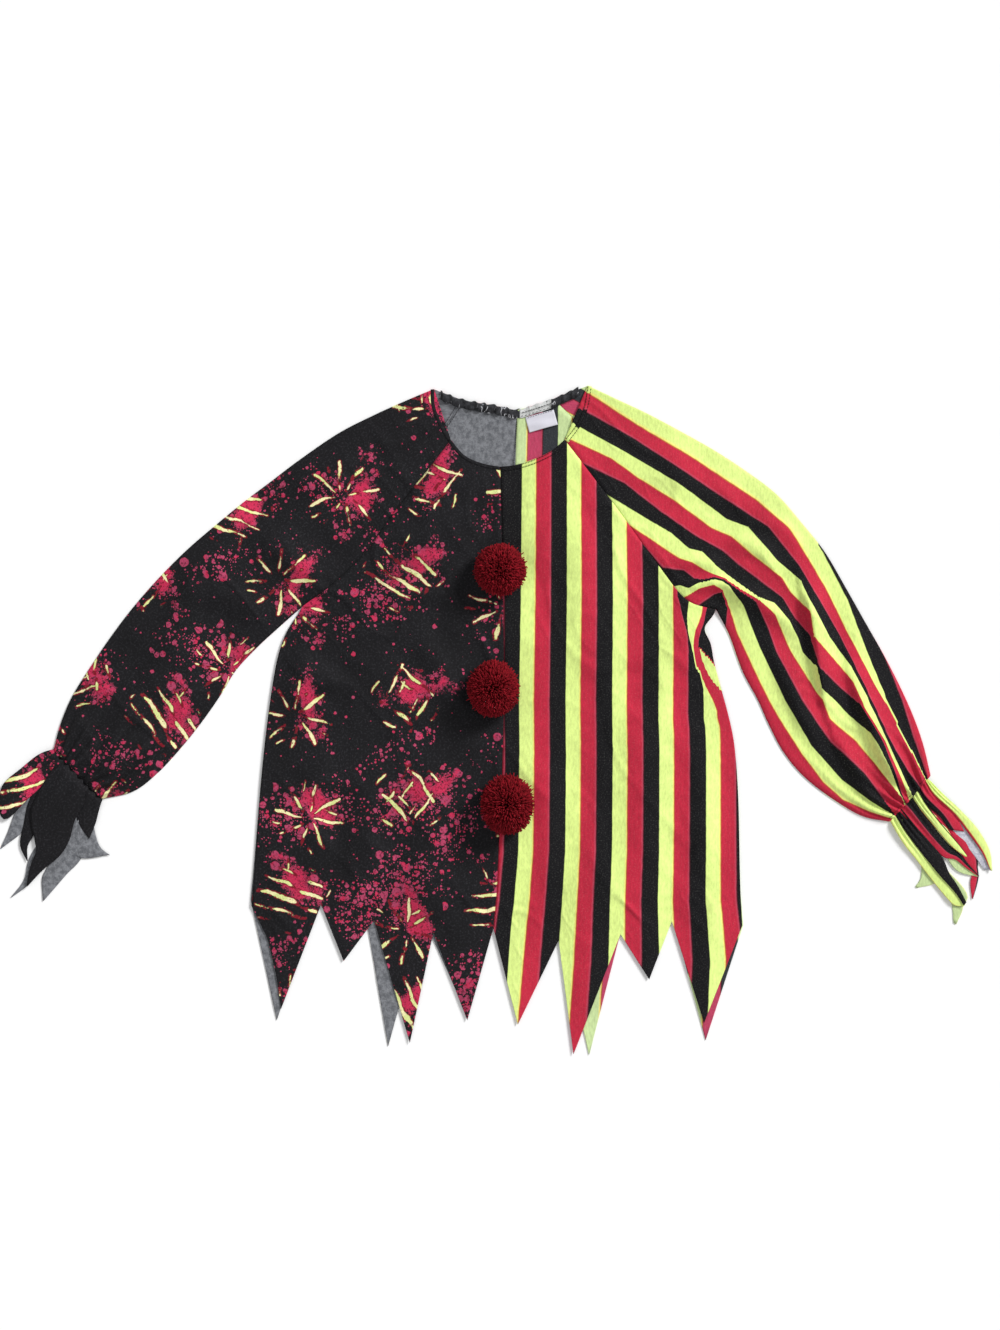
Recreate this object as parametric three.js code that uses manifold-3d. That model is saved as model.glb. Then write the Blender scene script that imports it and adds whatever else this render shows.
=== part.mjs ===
// Clown costume top with raglan sleeves, laid flat with its front up.
// Millimetres, +Z is up and the underside rests on z = 0. The printed half is at -X, the striped half at +X.

import * as THREE from "three";
import { mergeVertices } from "three/addons/utils/BufferGeometryUtils.js";
import Module from "manifold-3d";

const wasm = await Module();
wasm.setup();

// Cloth thickness and how the two layers of the flat garment lie on each other.
const WALL = 1.4;
const GAP = 0.3;
const LAYER = WALL + GAP;
const LOFT = 1.6;
const EDGE_SOFTNESS = 34;

// Levels across the body where the panel tables give an x.
const CHEST_Y = 75;
const WAIST_Y = -30;

// Grid steps: lines between two table rows, and rows in each band of a panel from the top to the points.
const PANEL_SPLIT = 2;
const FRONT_BANDS = [6, 2, 3, 4];
const BACK_BANDS = [3, 1, 2, 3];

// Sleeve grid: columns across one layer, rows between two sections, rows of the ruffle.
const SLEEVE_COLUMNS = 10;
const SLEEVE_SPLIT = 2;
const RUFFLE_ROWS = 4;
const FOLD_INSET = 1.4;

// Gathers at the wrist elastic and waves of the ruffle below it.
const GATHER_RISE = 2.6;
const GATHER_SECTIONS = 4;
const RUFFLE_RISE = 5;

// Raglan seams from the neck to the armpit.
const SEAM_PRINTED_FRONT = [
  { x: -52, y: 322 },
  { x: -78, y: 288 },
  { x: -105, y: 255 },
  { x: -127, y: 225 },
  { x: -148, y: 195 },
  { x: -185, y: 158 },
  { x: -222, y: 131 },
];
const SEAM_PRINTED_BACK = [
  { x: -39, y: 368 },
  { x: -58, y: 338 },
  { x: -84, y: 307 },
  { x: -110, y: 276 },
  { x: -140, y: 238 },
  { x: -180, y: 185 },
  { x: -222, y: 131 },
];
const SEAM_STRIPED_FRONT = [
  { x: 79, y: 322 },
  { x: 114, y: 276 },
  { x: 134, y: 250 },
  { x: 153, y: 224 },
  { x: 187, y: 177 },
  { x: 219, y: 138 },
  { x: 253, y: 127 },
];
const SEAM_STRIPED_BACK = [
  { x: 66, y: 369 },
  { x: 93, y: 342 },
  { x: 118, y: 309 },
  { x: 143, y: 276 },
  { x: 175, y: 224 },
  { x: 212, y: 166 },
  { x: 253, y: 127 },
];

// Neck edges of the panels, two lines from the centre to the raglan seam.
const NECK_PRINTED_FRONT = [
  { x: 5, y: 291 },
  { x: -30, y: 301 },
];
const NECK_STRIPED_FRONT = [
  { x: 5, y: 291 },
  { x: 41, y: 299 },
];
const NECK_PRINTED_BACK = [
  { x: 24, y: 356 },
  { x: -8, y: 362 },
];
const NECK_STRIPED_BACK = [
  { x: 24, y: 356 },
  { x: 46, y: 363 },
];

// One row per line down a panel, from the centre to the side: x at the chest and waist, then the line where
// the points begin and the cut edge, where notch and point take turns.
const BODY_PRINTED_FRONT = [
  { chestX: 9, waistX: 8, baseX: 1, baseY: -195, hemX: -3, hemY: -239 },
  { chestX: -23, waistX: -22, baseX: -34, baseY: -196, hemX: -33, hemY: -345 },
  { chestX: -54, waistX: -55, baseX: -72, baseY: -198, hemX: -72, hemY: -244 },
  { chestX: -86, waistX: -89, baseX: -101, baseY: -194, hemX: -99, hemY: -371 },
  { chestX: -118, waistX: -123, baseX: -139, baseY: -190, hemX: -140, hemY: -230 },
  { chestX: -151, waistX: -158, baseX: -172, baseY: -186, hemX: -175, hemY: -277 },
  { chestX: -184, waistX: -193, baseX: -203, baseY: -182, hemX: -201, hemY: -212 },
  { chestX: -217, waistX: -229, baseX: -242, baseY: -178, hemX: -247, hemY: -332 },
  { chestX: -250, waistX: -266, baseX: -278, baseY: -176, hemX: -281, hemY: -213 },
];
const BODY_STRIPED_FRONT = [
  { chestX: 9, waistX: 8, baseX: 1, baseY: -195, hemX: -3, hemY: -239 },
  { chestX: 42, waistX: 41, baseX: 36, baseY: -200, hemX: 25, hemY: -350 },
  { chestX: 74, waistX: 75, baseX: 71, baseY: -205, hemX: 72, hemY: -253 },
  { chestX: 104, waistX: 106, baseX: 98, baseY: -205, hemX: 89, hemY: -384 },
  { chestX: 133, waistX: 139, baseX: 141, baseY: -205, hemX: 143, hemY: -246 },
  { chestX: 160, waistX: 170, baseX: 174, baseY: -203, hemX: 176, hemY: -298 },
  { chestX: 190, waistX: 204, baseX: 203, baseY: -200, hemX: 202, hemY: -231 },
  { chestX: 220, waistX: 239, baseX: 241, baseY: -200, hemX: 239, hemY: -348 },
  { chestX: 249, waistX: 274, baseX: 281, baseY: -200, hemX: 283, hemY: -236 },
];
const BODY_PRINTED_BACK = [
  { chestX: 16, waistX: 13, baseX: 1, baseY: -188, hemX: -2, hemY: -230 },
  { chestX: -18, waistX: -20, baseX: -38, baseY: -190, hemX: -37, hemY: -331 },
  { chestX: -50, waistX: -54, baseX: -80, baseY: -190, hemX: -83, hemY: -228 },
  { chestX: -84, waistX: -90, baseX: -120, baseY: -190, hemX: -124, hemY: -375 },
  { chestX: -118, waistX: -125, baseX: -149, baseY: -188, hemX: -150, hemY: -223 },
  { chestX: -151, waistX: -160, baseX: -174, baseY: -184, hemX: -174, hemY: -264 },
  { chestX: -184, waistX: -195, baseX: -205, baseY: -180, hemX: -204, hemY: -202 },
  { chestX: -217, waistX: -230, baseX: -247, baseY: -178, hemX: -252, hemY: -345 },
  { chestX: -250, waistX: -266, baseX: -279, baseY: -174, hemX: -282, hemY: -207 },
];
const BODY_STRIPED_BACK = [
  { chestX: 16, waistX: 13, baseX: 1, baseY: -188, hemX: -2, hemY: -230 },
  { chestX: 44, waistX: 42, baseX: 34, baseY: -195, hemX: 22, hemY: -336 },
  { chestX: 74, waistX: 75, baseX: 72, baseY: -200, hemX: 74, hemY: -241 },
  { chestX: 104, waistX: 108, baseX: 105, baseY: -202, hemX: 107, hemY: -385 },
  { chestX: 133, waistX: 140, baseX: 143, baseY: -202, hemX: 145, hemY: -237 },
  { chestX: 160, waistX: 171, baseX: 175, baseY: -200, hemX: 177, hemY: -288 },
  { chestX: 190, waistX: 205, baseX: 204, baseY: -198, hemX: 202, hemY: -223 },
  { chestX: 220, waistX: 240, baseX: 242, baseY: -198, hemX: 241, hemY: -368 },
  { chestX: 249, waistX: 274, baseX: 281, baseY: -198, hemX: 284, hemY: -236 },
];

// One row per section of a sleeve from the neck to the wrist elastic: the folded shoulder edge, then the
// underarm edge. The first sections end on the raglan seams, so they have no underarm edge.
const SLEEVE_PRINTED = [
  { foldX: -71, foldY: 380 },
  { foldX: -100, foldY: 368 },
  { foldX: -140, foldY: 350 },
  { foldX: -181, foldY: 329 },
  { foldX: -225, foldY: 299 },
  { foldX: -258, foldY: 274 },
  { foldX: -291, foldY: 249 },
  { foldX: -325, foldY: 221, underX: -249, underY: 107 },
  { foldX: -355, foldY: 195, underX: -275, underY: 83 },
  { foldX: -386, foldY: 164, underX: -299, underY: 57 },
  { foldX: -415, foldY: 131, underX: -317, underY: 28 },
  { foldX: -441, foldY: 97, underX: -338, underY: -2 },
  { foldX: -466, foldY: 60, underX: -362, underY: -32 },
  { foldX: -487, foldY: 26, underX: -389, underY: -61 },
  { foldX: -500, foldY: -5, underX: -417, underY: -82 },
  { foldX: -508, foldY: -34, underX: -453, underY: -91 },
];
const SLEEVE_STRIPED = [
  { foldX: 105, foldY: 384 },
  { foldX: 139, foldY: 368 },
  { foldX: 173, foldY: 352 },
  { foldX: 207, foldY: 334 },
  { foldX: 248, foldY: 311 },
  { foldX: 285, foldY: 287 },
  { foldX: 322, foldY: 259 },
  { foldX: 352, foldY: 225, underX: 268, underY: 98 },
  { foldX: 378, foldY: 192, underX: 283, underY: 57 },
  { foldX: 402, foldY: 151, underX: 301, underY: 23 },
  { foldX: 424, foldY: 112, underX: 314, underY: -6 },
  { foldX: 445, foldY: 75, underX: 330, underY: -36 },
  { foldX: 464, foldY: 38, underX: 352, underY: -63 },
  { foldX: 480, foldY: 2, underX: 383, underY: -88 },
  { foldX: 491, foldY: -30, underX: 420, underY: -110 },
  { foldX: 499, foldY: -64, underX: 452, underY: -117 },
];

// Jagged ends of the ruffles: each corner of the cut and the sleeve column it is on, 0 at the underarm.
const RUFFLE_PRINTED_FRONT = [
  { x: -465, y: -136, at: 0 },
  { x: -483, y: -107, at: 2 },
  { x: -532, y: -191, at: 4 },
  { x: -529, y: -136, at: 6 },
  { x: -546, y: -148, at: 7 },
  { x: -543, y: -96, at: 8 },
  { x: -568, y: -106, at: 10 },
];
const RUFFLE_PRINTED_BACK = [
  { x: -446, y: -154, at: 0 },
  { x: -490, y: -163, at: 2 },
  { x: -522, y: -216, at: 4 },
  { x: -527, y: -168, at: 5 },
  { x: -558, y: -205, at: 7 },
  { x: -547, y: -140, at: 8 },
  { x: -570, y: -147, at: 9 },
  { x: -568, y: -106, at: 10 },
];
const RUFFLE_STRIPED_FRONT = [
  { x: 483, y: -189, at: 0 },
  { x: 498, y: -168, at: 2 },
  { x: 530, y: -224, at: 4 },
  { x: 534, y: -182, at: 6 },
  { x: 551, y: -204, at: 7 },
  { x: 550, y: -163, at: 8 },
  { x: 570, y: -170, at: 10 },
];
const RUFFLE_STRIPED_BACK = [
  { x: 490, y: -182, at: 0 },
  { x: 508, y: -177, at: 2 },
  { x: 536, y: -232, at: 4 },
  { x: 540, y: -198, at: 6 },
  { x: 557, y: -199, at: 7 },
  { x: 559, y: -170, at: 8 },
  { x: 570, y: -170, at: 10 },
];

// Folds of the upper layer: a ridge from one point to another, its half width and its height.
const FOLDS = [
  { fromX: 356, fromY: 145, toX: 366, toY: 78, width: 15, height: 6 },
  { fromX: 366, fromY: 78, toX: 380, toY: 0, width: 15, height: 6 },
  { fromX: 408, fromY: 58, toX: 436, toY: -24, width: 14, height: 6 },
  { fromX: 436, fromY: -24, toX: 466, toY: -88, width: 12, height: 5 },
  { fromX: 228, fromY: 156, toX: 300, toY: 139, width: 14, height: 5 },
  { fromX: 300, fromY: 139, toX: 344, toY: 96, width: 14, height: 5 },
  { fromX: 206, fromY: 178, toX: 246, toY: 192, width: 13, height: 3 },
  { fromX: 272, fromY: 200, toX: 322, toY: 214, width: 14, height: 3 },
  { fromX: 318, fromY: 90, toX: 352, toY: 8, width: 15, height: 3 },
  { fromX: 196, fromY: 276, toX: 300, toY: 236, width: 20, height: 2 },
  { fromX: -196, fromY: 152, toX: -262, toY: 206, width: 16, height: 3 },
  { fromX: -262, fromY: 118, toX: -330, toY: 150, width: 18, height: 3 },
  { fromX: -352, fromY: 96, toX: -404, toY: 30, width: 20, height: 3 },
  { fromX: -404, fromY: 30, toX: -448, toY: -50, width: 16, height: 4 },
  { fromX: -446, fromY: 62, toX: -484, toY: -24, width: 14, height: 3 },
  { fromX: -130, fromY: 304, toX: -214, toY: 268, width: 20, height: 2 },
  { fromX: -246, fromY: 84, toX: -168, toY: 34, width: 16, height: 3 },
  { fromX: -92, fromY: 104, toX: -24, toY: -16, width: 16, height: 3 },
  { fromX: -150, fromY: 140, toX: -40, toY: 142, width: 14, height: 2 },
  { fromX: -206, fromY: -36, toX: -214, toY: -170, width: 20, height: 2 },
  { fromX: -70, fromY: -80, toX: -84, toY: -214, width: 20, height: 3 },
  { fromX: 216, fromY: 112, toX: 132, toY: 58, width: 18, height: 3 },
  { fromX: 88, fromY: 252, toX: 98, toY: 20, width: 20, height: 2 },
  { fromX: 168, fromY: 20, toX: 176, toY: -190, width: 22, height: 3 },
  { fromX: 62, fromY: -60, toX: 66, toY: -220, width: 18, height: 2 },
  { fromX: 232, fromY: -20, toX: 240, toY: -200, width: 16, height: 3 },
];

// Yarn pompoms on the centre front seam, resting on a level patch of the cloth.
const PAD_LEVEL = 5;
const PAD_INNER = 20;
const PAD_OUTER = 40;
const POMPOMS = [
  { name: "pompom_upper", x: 5, y: 172, radius: 29, stretch: 1, turn: 0 },
  { name: "pompom_middle", x: -3, y: 36, radius: 29, stretch: 1.1, turn: 0.7 },
  { name: "pompom_lower", x: 13, y: -96, radius: 30, stretch: 1.14, turn: 1.9 },
];
const LOCKS = 60;
const LOCK_SIDES = 3;
const LOCK_ROOT = 2.7;
const LOCK_TIP = 1.5;
const LOCK_LENGTH = 10;
const LOWEST_LOCK = -0.42;
const POMPOM_SQUASH = 0.86;
const BACKING_RADIUS = 11;
const GOLDEN_ANGLE = Math.PI * (3 - Math.sqrt(5));

// Elastic casing along the back of the neck: upper edge of the band, width, and the waves of its gathers.
const CASING_EDGE = [
  { x: -63, y: 376 },
  { x: -32, y: 367 },
  { x: -2, y: 361 },
  { x: 24, y: 356 },
  { x: 62, y: 368 },
  { x: 93, y: 379 },
];
const CASING_WIDTH = 10;
const CASING_THICKNESS = 1.6;
const CASING_WAVES = 13;
const CASING_RISE = 2.4;
const STEPS_PER_WAVE = 4;

// Bare neck label under the casing: its upper left corner, size, thickness and tilt.
const LABEL = { x: 35, y: 345, width: 34, height: 18, thickness: 1, tilt: 0.27 };

const { lerp, smoothstep } = THREE.MathUtils;

function flat(x, y) {
  return new THREE.Vector3(x, y, 0);
}

// Table rows as points, and the point a share of the way between two neighbouring ones.
function points(table, x = "x", y = "y") {
  return table.map((row) => flat(row[x], row[y]));
}

function between(line, position) {
  const index = Math.min(Math.floor(position), line.length - 2);
  return line[index].clone().lerp(line[index + 1], position - index);
}

// The corner points of a jagged end, spread over the sleeve columns.
function jagged(table, column) {
  const next = Math.max(
    table.findIndex((row) => row.at >= column),
    1,
  );
  const a = table[next - 1];
  const b = table[next];
  const share = (column - a.at) / (b.at - a.at);
  return flat(lerp(a.x, b.x, share), lerp(a.y, b.y, share));
}

// Inner edges of the sleeve layers: the raglan seam, then the shared underarm edge.
function innerEdge(seam, sections) {
  return [...points(seam), ...points(sections.slice(seam.length), "underX", "underY")];
}

// All edges of the flat garment; the upper layer lies down towards them.
const EDGES = [
  points(SLEEVE_PRINTED, "foldX", "foldY"),
  points(SLEEVE_STRIPED, "foldX", "foldY"),
  points(SLEEVE_PRINTED.slice(7), "underX", "underY"),
  points(SLEEVE_STRIPED.slice(7), "underX", "underY"),
  points(RUFFLE_PRINTED_FRONT),
  points(RUFFLE_STRIPED_FRONT),
  points(BODY_PRINTED_FRONT, "hemX", "hemY"),
  points(BODY_STRIPED_FRONT, "hemX", "hemY"),
  sideEdge(SEAM_PRINTED_FRONT, BODY_PRINTED_FRONT),
  sideEdge(SEAM_STRIPED_FRONT, BODY_STRIPED_FRONT),
  [...points([SEAM_PRINTED_FRONT[0], ...NECK_PRINTED_FRONT.toReversed()])],
  [...points([...NECK_STRIPED_FRONT, SEAM_STRIPED_FRONT[0]])],
].flatMap((line) => line.slice(1).map((end, i) => new THREE.Line3(line[i], end)));

function sideEdge(seam, body) {
  const armpit = seam.at(-1);
  const side = body.at(-1);
  return [
    flat(armpit.x, armpit.y),
    flat(side.chestX, CHEST_Y),
    flat(side.waistX, WAIST_Y),
    flat(side.baseX, side.baseY),
    flat(side.hemX, side.hemY),
  ];
}

function ridge(fold, point) {
  const line = new THREE.Line3(flat(fold.fromX, fold.fromY), flat(fold.toX, fold.toY));
  const away = line.closestPointToPoint(point, true, new THREE.Vector3()).distanceTo(point);
  return fold.height * Math.exp(-((away / fold.width) ** 2));
}

// Height of the outer face of the upper layer over a point of the floor.
function clothTop(point) {
  const target = new THREE.Vector3();
  const edge = Math.min(
    ...EDGES.map((line) => line.closestPointToPoint(point, true, target).distanceTo(point)),
  );
  const folds = FOLDS.reduce((sum, fold) => sum + ridge(fold, point), 0);
  let top = LAYER + WALL + smoothstep(edge, 0, EDGE_SOFTNESS) * (LOFT + folds);
  for (const { x, y } of POMPOMS) {
    const away = point.distanceTo(flat(x, y));
    top = lerp(PAD_LEVEL, top, smoothstep(away, PAD_INNER, PAD_OUTER));
  }
  return top;
}

function raised(point, z) {
  return new THREE.Vector3(point.x, point.y, z);
}

// Moves the border of a grid inwards, so that pieces sewn together don't touch.
function trimmed(grid) {
  const last = grid.length - 1;
  const end = grid[0].length - 1;
  return grid.map((row, r) =>
    row.map((point, c) => {
      const inner = grid[THREE.MathUtils.clamp(r, 1, last - 1)][THREE.MathUtils.clamp(c, 1, end - 1)];
      const step = inner.clone().sub(point);
      return point.clone().add(step.setLength(Math.min(step.length(), GAP)));
    }),
  );
}

// A closed solid between two grids of the same size, with its faces turned outwards.
function slab(outer, inner) {
  const rows = outer.length;
  const columns = outer[0].length;
  const positions = [...outer.flat(), ...inner.flat()].flatMap((p) => p.toArray());
  const face = (layer, r, c) => layer * rows * columns + r * columns + c;
  const index = [];
  const quad = (a, b, c, d) => index.push(a, b, c, a, c, d);
  for (let r = 0; r < rows - 1; r++) {
    for (let c = 0; c < columns - 1; c++) {
      quad(face(0, r, c), face(0, r, c + 1), face(0, r + 1, c + 1), face(0, r + 1, c));
      quad(face(1, r, c), face(1, r + 1, c), face(1, r + 1, c + 1), face(1, r, c + 1));
    }
    quad(face(0, r, 0), face(0, r + 1, 0), face(1, r + 1, 0), face(1, r, 0));
    const e = columns - 1;
    quad(face(0, r, e), face(1, r, e), face(1, r + 1, e), face(0, r + 1, e));
  }
  for (let c = 0; c < columns - 1; c++) {
    quad(face(0, 0, c), face(1, 0, c), face(1, 0, c + 1), face(0, 0, c + 1));
    const e = rows - 1;
    quad(face(0, e, c), face(0, e, c + 1), face(1, e, c + 1), face(1, e, c));
  }
  const geometry = new THREE.BufferGeometry();
  geometry.setAttribute("position", new THREE.Float32BufferAttribute(positions, 3));
  geometry.setIndex(volume(positions, index) < 0 ? index.reverse() : index);
  geometry.computeVertexNormals();
  return geometry;
}

function volume(positions, index) {
  const corner = (i) => new THREE.Vector3().fromArray(positions, 3 * index[i]);
  let sum = 0;
  for (let i = 0; i < index.length; i += 3) {
    sum += corner(i).dot(corner(i + 1).cross(corner(i + 2)));
  }
  return sum / 6;
}

// The flat grid of a body panel: lines from the neck or raglan seam down to the cut edge.
function panelGrid(neck, seam, body, bands) {
  const tops = [...points(neck), ...points(seam)];
  const lines = body.map((row, i) => [
    tops[i],
    flat(row.chestX, CHEST_Y),
    flat(row.waistX, WAIST_Y),
    flat(row.baseX, row.baseY),
    flat(row.hemX, row.hemY),
  ]);
  const positions = bands.flatMap((steps, band) =>
    Array.from({ length: steps }, (_, step) => band + step / steps),
  );
  positions.push(bands.length);
  return trimmed(
    positions.map((position) => {
      const level = lines.map((line) => between(line, position));
      return Array.from({ length: PANEL_SPLIT * (level.length - 1) + 1 }, (_, i) =>
        between(level, i / PANEL_SPLIT),
      );
    }),
  );
}

function frontPanel(neck, seam, body) {
  const grid = panelGrid(neck, seam, body, FRONT_BANDS);
  const outer = grid.map((row) => row.map((p) => raised(p, clothTop(p))));
  const inner = outer.map((row) => row.map((p) => raised(p, p.z - WALL)));
  return slab(outer, inner);
}

function backPanel(neck, seam, body) {
  const grid = panelGrid(neck, seam, body, BACK_BANDS);
  const outer = grid.map((row) => row.map((p) => raised(p, WALL)));
  const inner = grid.map((row) => row.map((p) => raised(p, 0)));
  return slab(outer, inner);
}

// One layer of a sleeve: rows from the neck to the jagged end, columns from the underarm to the fold.
function sleeveGrid(seam, sections, end) {
  const under = innerEdge(seam, sections);
  const fold = points(sections, "foldX", "foldY");
  const armRows = SLEEVE_SPLIT * (sections.length - 1);
  const across = (from, to) =>
    Array.from({ length: SLEEVE_COLUMNS + 1 }, (_, c) => {
      const near = c === 0 ? GAP : 0;
      const inset = (c === SLEEVE_COLUMNS ? FOLD_INSET : near) / from.distanceTo(to);
      const share = c / SLEEVE_COLUMNS;
      return from.clone().lerp(to, c === 0 ? inset : share - inset);
    });
  const rows = Array.from({ length: armRows + 1 }, (_, r) =>
    across(between(under, r / SLEEVE_SPLIT), between(fold, r / SLEEVE_SPLIT)),
  );
  const wrist = rows.at(-1);
  for (let r = 1; r <= RUFFLE_ROWS; r++) {
    rows.push(wrist.map((p, c) => p.clone().lerp(jagged(end, c), r / RUFFLE_ROWS)));
  }
  return rows;
}

// How much the gathers and the ruffle lift every other column of the upper layer.
function gather(row, column) {
  const armRows = SLEEVE_SPLIT * (SLEEVE_PRINTED.length - 1);
  const wave = 0.5 - 0.5 * Math.cos(Math.PI * column);
  const near = smoothstep(row, armRows - SLEEVE_SPLIT * GATHER_SECTIONS, armRows);
  const below = Math.max(0, (row - armRows) / RUFFLE_ROWS);
  return wave * lerp(near * GATHER_RISE, RUFFLE_RISE, below);
}

// A sleeve is one sheet folded along the shoulder; its edges meet along the underarm.
function sleeve(frontSeam, backSeam, sections, frontEnd, backEnd) {
  const front = sleeveGrid(frontSeam, sections, frontEnd);
  const back = sleeveGrid(backSeam, sections, backEnd);
  const outer = [];
  const inner = [];
  front.forEach((row, r) => {
    const n = SLEEVE_COLUMNS;
    const tip = row[n].clone().add(
      row[n]
        .clone()
        .sub(row[n - 1])
        .setLength(FOLD_INSET),
    );
    const inwards = row[0].clone().sub(tip).setLength(WALL + FOLD_INSET / 2);
    const top = row.map((p, c) => raised(p, clothTop(p) + (c < n ? gather(r, c) : 0)));
    const bottom = back[r].map((p) => raised(p, 0));
    const topIn = top.map((p, c) => raised(c < n ? p : p.clone().add(inwards), p.z - WALL));
    const bottomIn = bottom.map((p, c) => raised(c < n ? p : p.clone().add(inwards), WALL));
    const middle = top[n].z / 2;
    outer.push([...top, raised(tip, middle), ...bottom.toReversed()]);
    inner.push([...topIn, raised(tip.clone().add(inwards), middle), ...bottomIn.toReversed()]);
  });
  return slab(outer, inner);
}

// The casing: a band on the inside of the back neck edge that rises and falls with its gathers.
function casing() {
  const edge = points(CASING_EDGE);
  const steps = CASING_WAVES * STEPS_PER_WAVE;
  const rows = Array.from({ length: steps + 1 }, (_, i) => {
    const p = between(edge, (i / steps) * (edge.length - 1));
    const wave = 0.5 - 0.5 * Math.cos((2 * Math.PI * i) / STEPS_PER_WAVE);
    const base = LAYER + CASING_RISE * wave;
    return [flat(p.x, p.y), flat(p.x, p.y - CASING_WIDTH / 2), flat(p.x, p.y - CASING_WIDTH)].map(
      (q, c) => raised(q, c === 1 ? base : lerp(LAYER, base, 0.6)),
    );
  });
  const outer = rows.map((row) => row.map((p) => raised(p, p.z + CASING_THICKNESS)));
  return slab(outer, rows);
}

function label() {
  const { x, y, width, height, thickness, tilt } = LABEL;
  const shape = new THREE.BoxGeometry(width, height, thickness);
  shape.deleteAttribute("normal");
  shape.deleteAttribute("uv");
  const merged = mergeVertices(shape);
  merged.translate(width / 2, -height / 2, thickness / 2);
  merged.rotateZ(tilt);
  merged.translate(x, y, LAYER);
  merged.computeVertexNormals();
  return merged;
}

function solid(geometry) {
  const bare = geometry.clone();
  bare.deleteAttribute("normal");
  bare.deleteAttribute("uv");
  const merged = mergeVertices(bare, 1e-4);
  return new wasm.Manifold(
    new wasm.Mesh({
      numProp: 3,
      vertProperties: merged.getAttribute("position").array,
      triVerts: Uint32Array.from(merged.index.array),
    }),
  );
}

function geometryOf(manifold) {
  const { numProp, vertProperties, triVerts } = manifold.getMesh();
  const geometry = new THREE.BufferGeometry();
  const interleaved = new THREE.InterleavedBuffer(vertProperties, numProp);
  geometry.setAttribute("position", new THREE.InterleavedBufferAttribute(interleaved, 3, 0));
  geometry.setIndex(Array.from(triVerts));
  geometry.computeVertexNormals();
  return geometry;
}

// A pompom: a flattened core on a small backing, with three-sided locks of yarn standing out of it.
function pompom({ x, y, radius, stretch, turn }) {
  const core = radius - LOCK_LENGTH;
  const rest = PAD_LEVEL + GAP;
  const centre = rest + core * POMPOM_SQUASH;
  const ball = new THREE.IcosahedronGeometry(core, 1);
  ball.scale(1, stretch, POMPOM_SQUASH);
  ball.translate(0, 0, centre);
  const backing = new THREE.CylinderGeometry(BACKING_RADIUS, BACKING_RADIUS, core / 2, 12);
  backing.rotateX(Math.PI / 2);
  backing.translate(0, 0, rest + core / 4);
  let body = solid(ball).add(solid(backing));
  for (let i = 0; i < LOCKS; i++) {
    const z = lerp(0.98, LOWEST_LOCK, i / (LOCKS - 1));
    const angle = turn + i * GOLDEN_ANGLE;
    const around = Math.sqrt(1 - z * z);
    const way = new THREE.Vector3(around * Math.cos(angle), around * Math.sin(angle), z);
    const length = core * 0.45 + LOCK_LENGTH * (0.92 + 0.08 * Math.cos(7 * i));
    const lock = new THREE.CylinderGeometry(LOCK_TIP, LOCK_ROOT, length, LOCK_SIDES);
    lock.translate(0, core * 0.55 + length / 2, 0);
    lock.applyQuaternion(new THREE.Quaternion().setFromUnitVectors(new THREE.Vector3(0, 1, 0), way));
    lock.scale(1, stretch, POMPOM_SQUASH);
    lock.translate(0, 0, centre);
    body = body.add(solid(lock));
  }
  return geometryOf(body.translate([x, y, 0]));
}

const PRINTED = 0x202024;
const PRINTED_INSIDE = 0x5b5d63;
const STRIPED = 0xc8f05a;
const STRIPED_INSIDE = 0xd9e8a0;
const CASING_COLOUR = 0x34353a;
const LABEL_COLOUR = 0xf2f2f0;
const YARN = 0x6a0a18;

const garment = new THREE.Group();
garment.name = "clown_costume_top";

function add(name, geometry, color) {
  const mesh = new THREE.Mesh(geometry, new THREE.MeshStandardMaterial({ color, roughness: 0.9 }));
  mesh.name = name;
  garment.add(mesh);
}

add("back_printed", backPanel(NECK_PRINTED_BACK, SEAM_PRINTED_BACK, BODY_PRINTED_BACK), PRINTED_INSIDE);
add("back_striped", backPanel(NECK_STRIPED_BACK, SEAM_STRIPED_BACK, BODY_STRIPED_BACK), STRIPED_INSIDE);
add("front_printed", frontPanel(NECK_PRINTED_FRONT, SEAM_PRINTED_FRONT, BODY_PRINTED_FRONT), PRINTED);
add("front_striped", frontPanel(NECK_STRIPED_FRONT, SEAM_STRIPED_FRONT, BODY_STRIPED_FRONT), STRIPED);
add(
  "sleeve_printed",
  sleeve(
    SEAM_PRINTED_FRONT,
    SEAM_PRINTED_BACK,
    SLEEVE_PRINTED,
    RUFFLE_PRINTED_FRONT,
    RUFFLE_PRINTED_BACK,
  ),
  PRINTED,
);
add(
  "sleeve_striped",
  sleeve(
    SEAM_STRIPED_FRONT,
    SEAM_STRIPED_BACK,
    SLEEVE_STRIPED,
    RUFFLE_STRIPED_FRONT,
    RUFFLE_STRIPED_BACK,
  ),
  STRIPED,
);
add("neck_casing", casing(), CASING_COLOUR);
add("neck_label", label(), LABEL_COLOUR);
for (const spec of POMPOMS) {
  add(spec.name, pompom(spec), YARN);
}

// The origin is the middle of the underside.
const box = new THREE.Box3().setFromObject(garment);
const centre = box.getCenter(new THREE.Vector3());
garment.position.set(-centre.x, -centre.y, 0);

export default garment;
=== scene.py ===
import math

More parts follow.
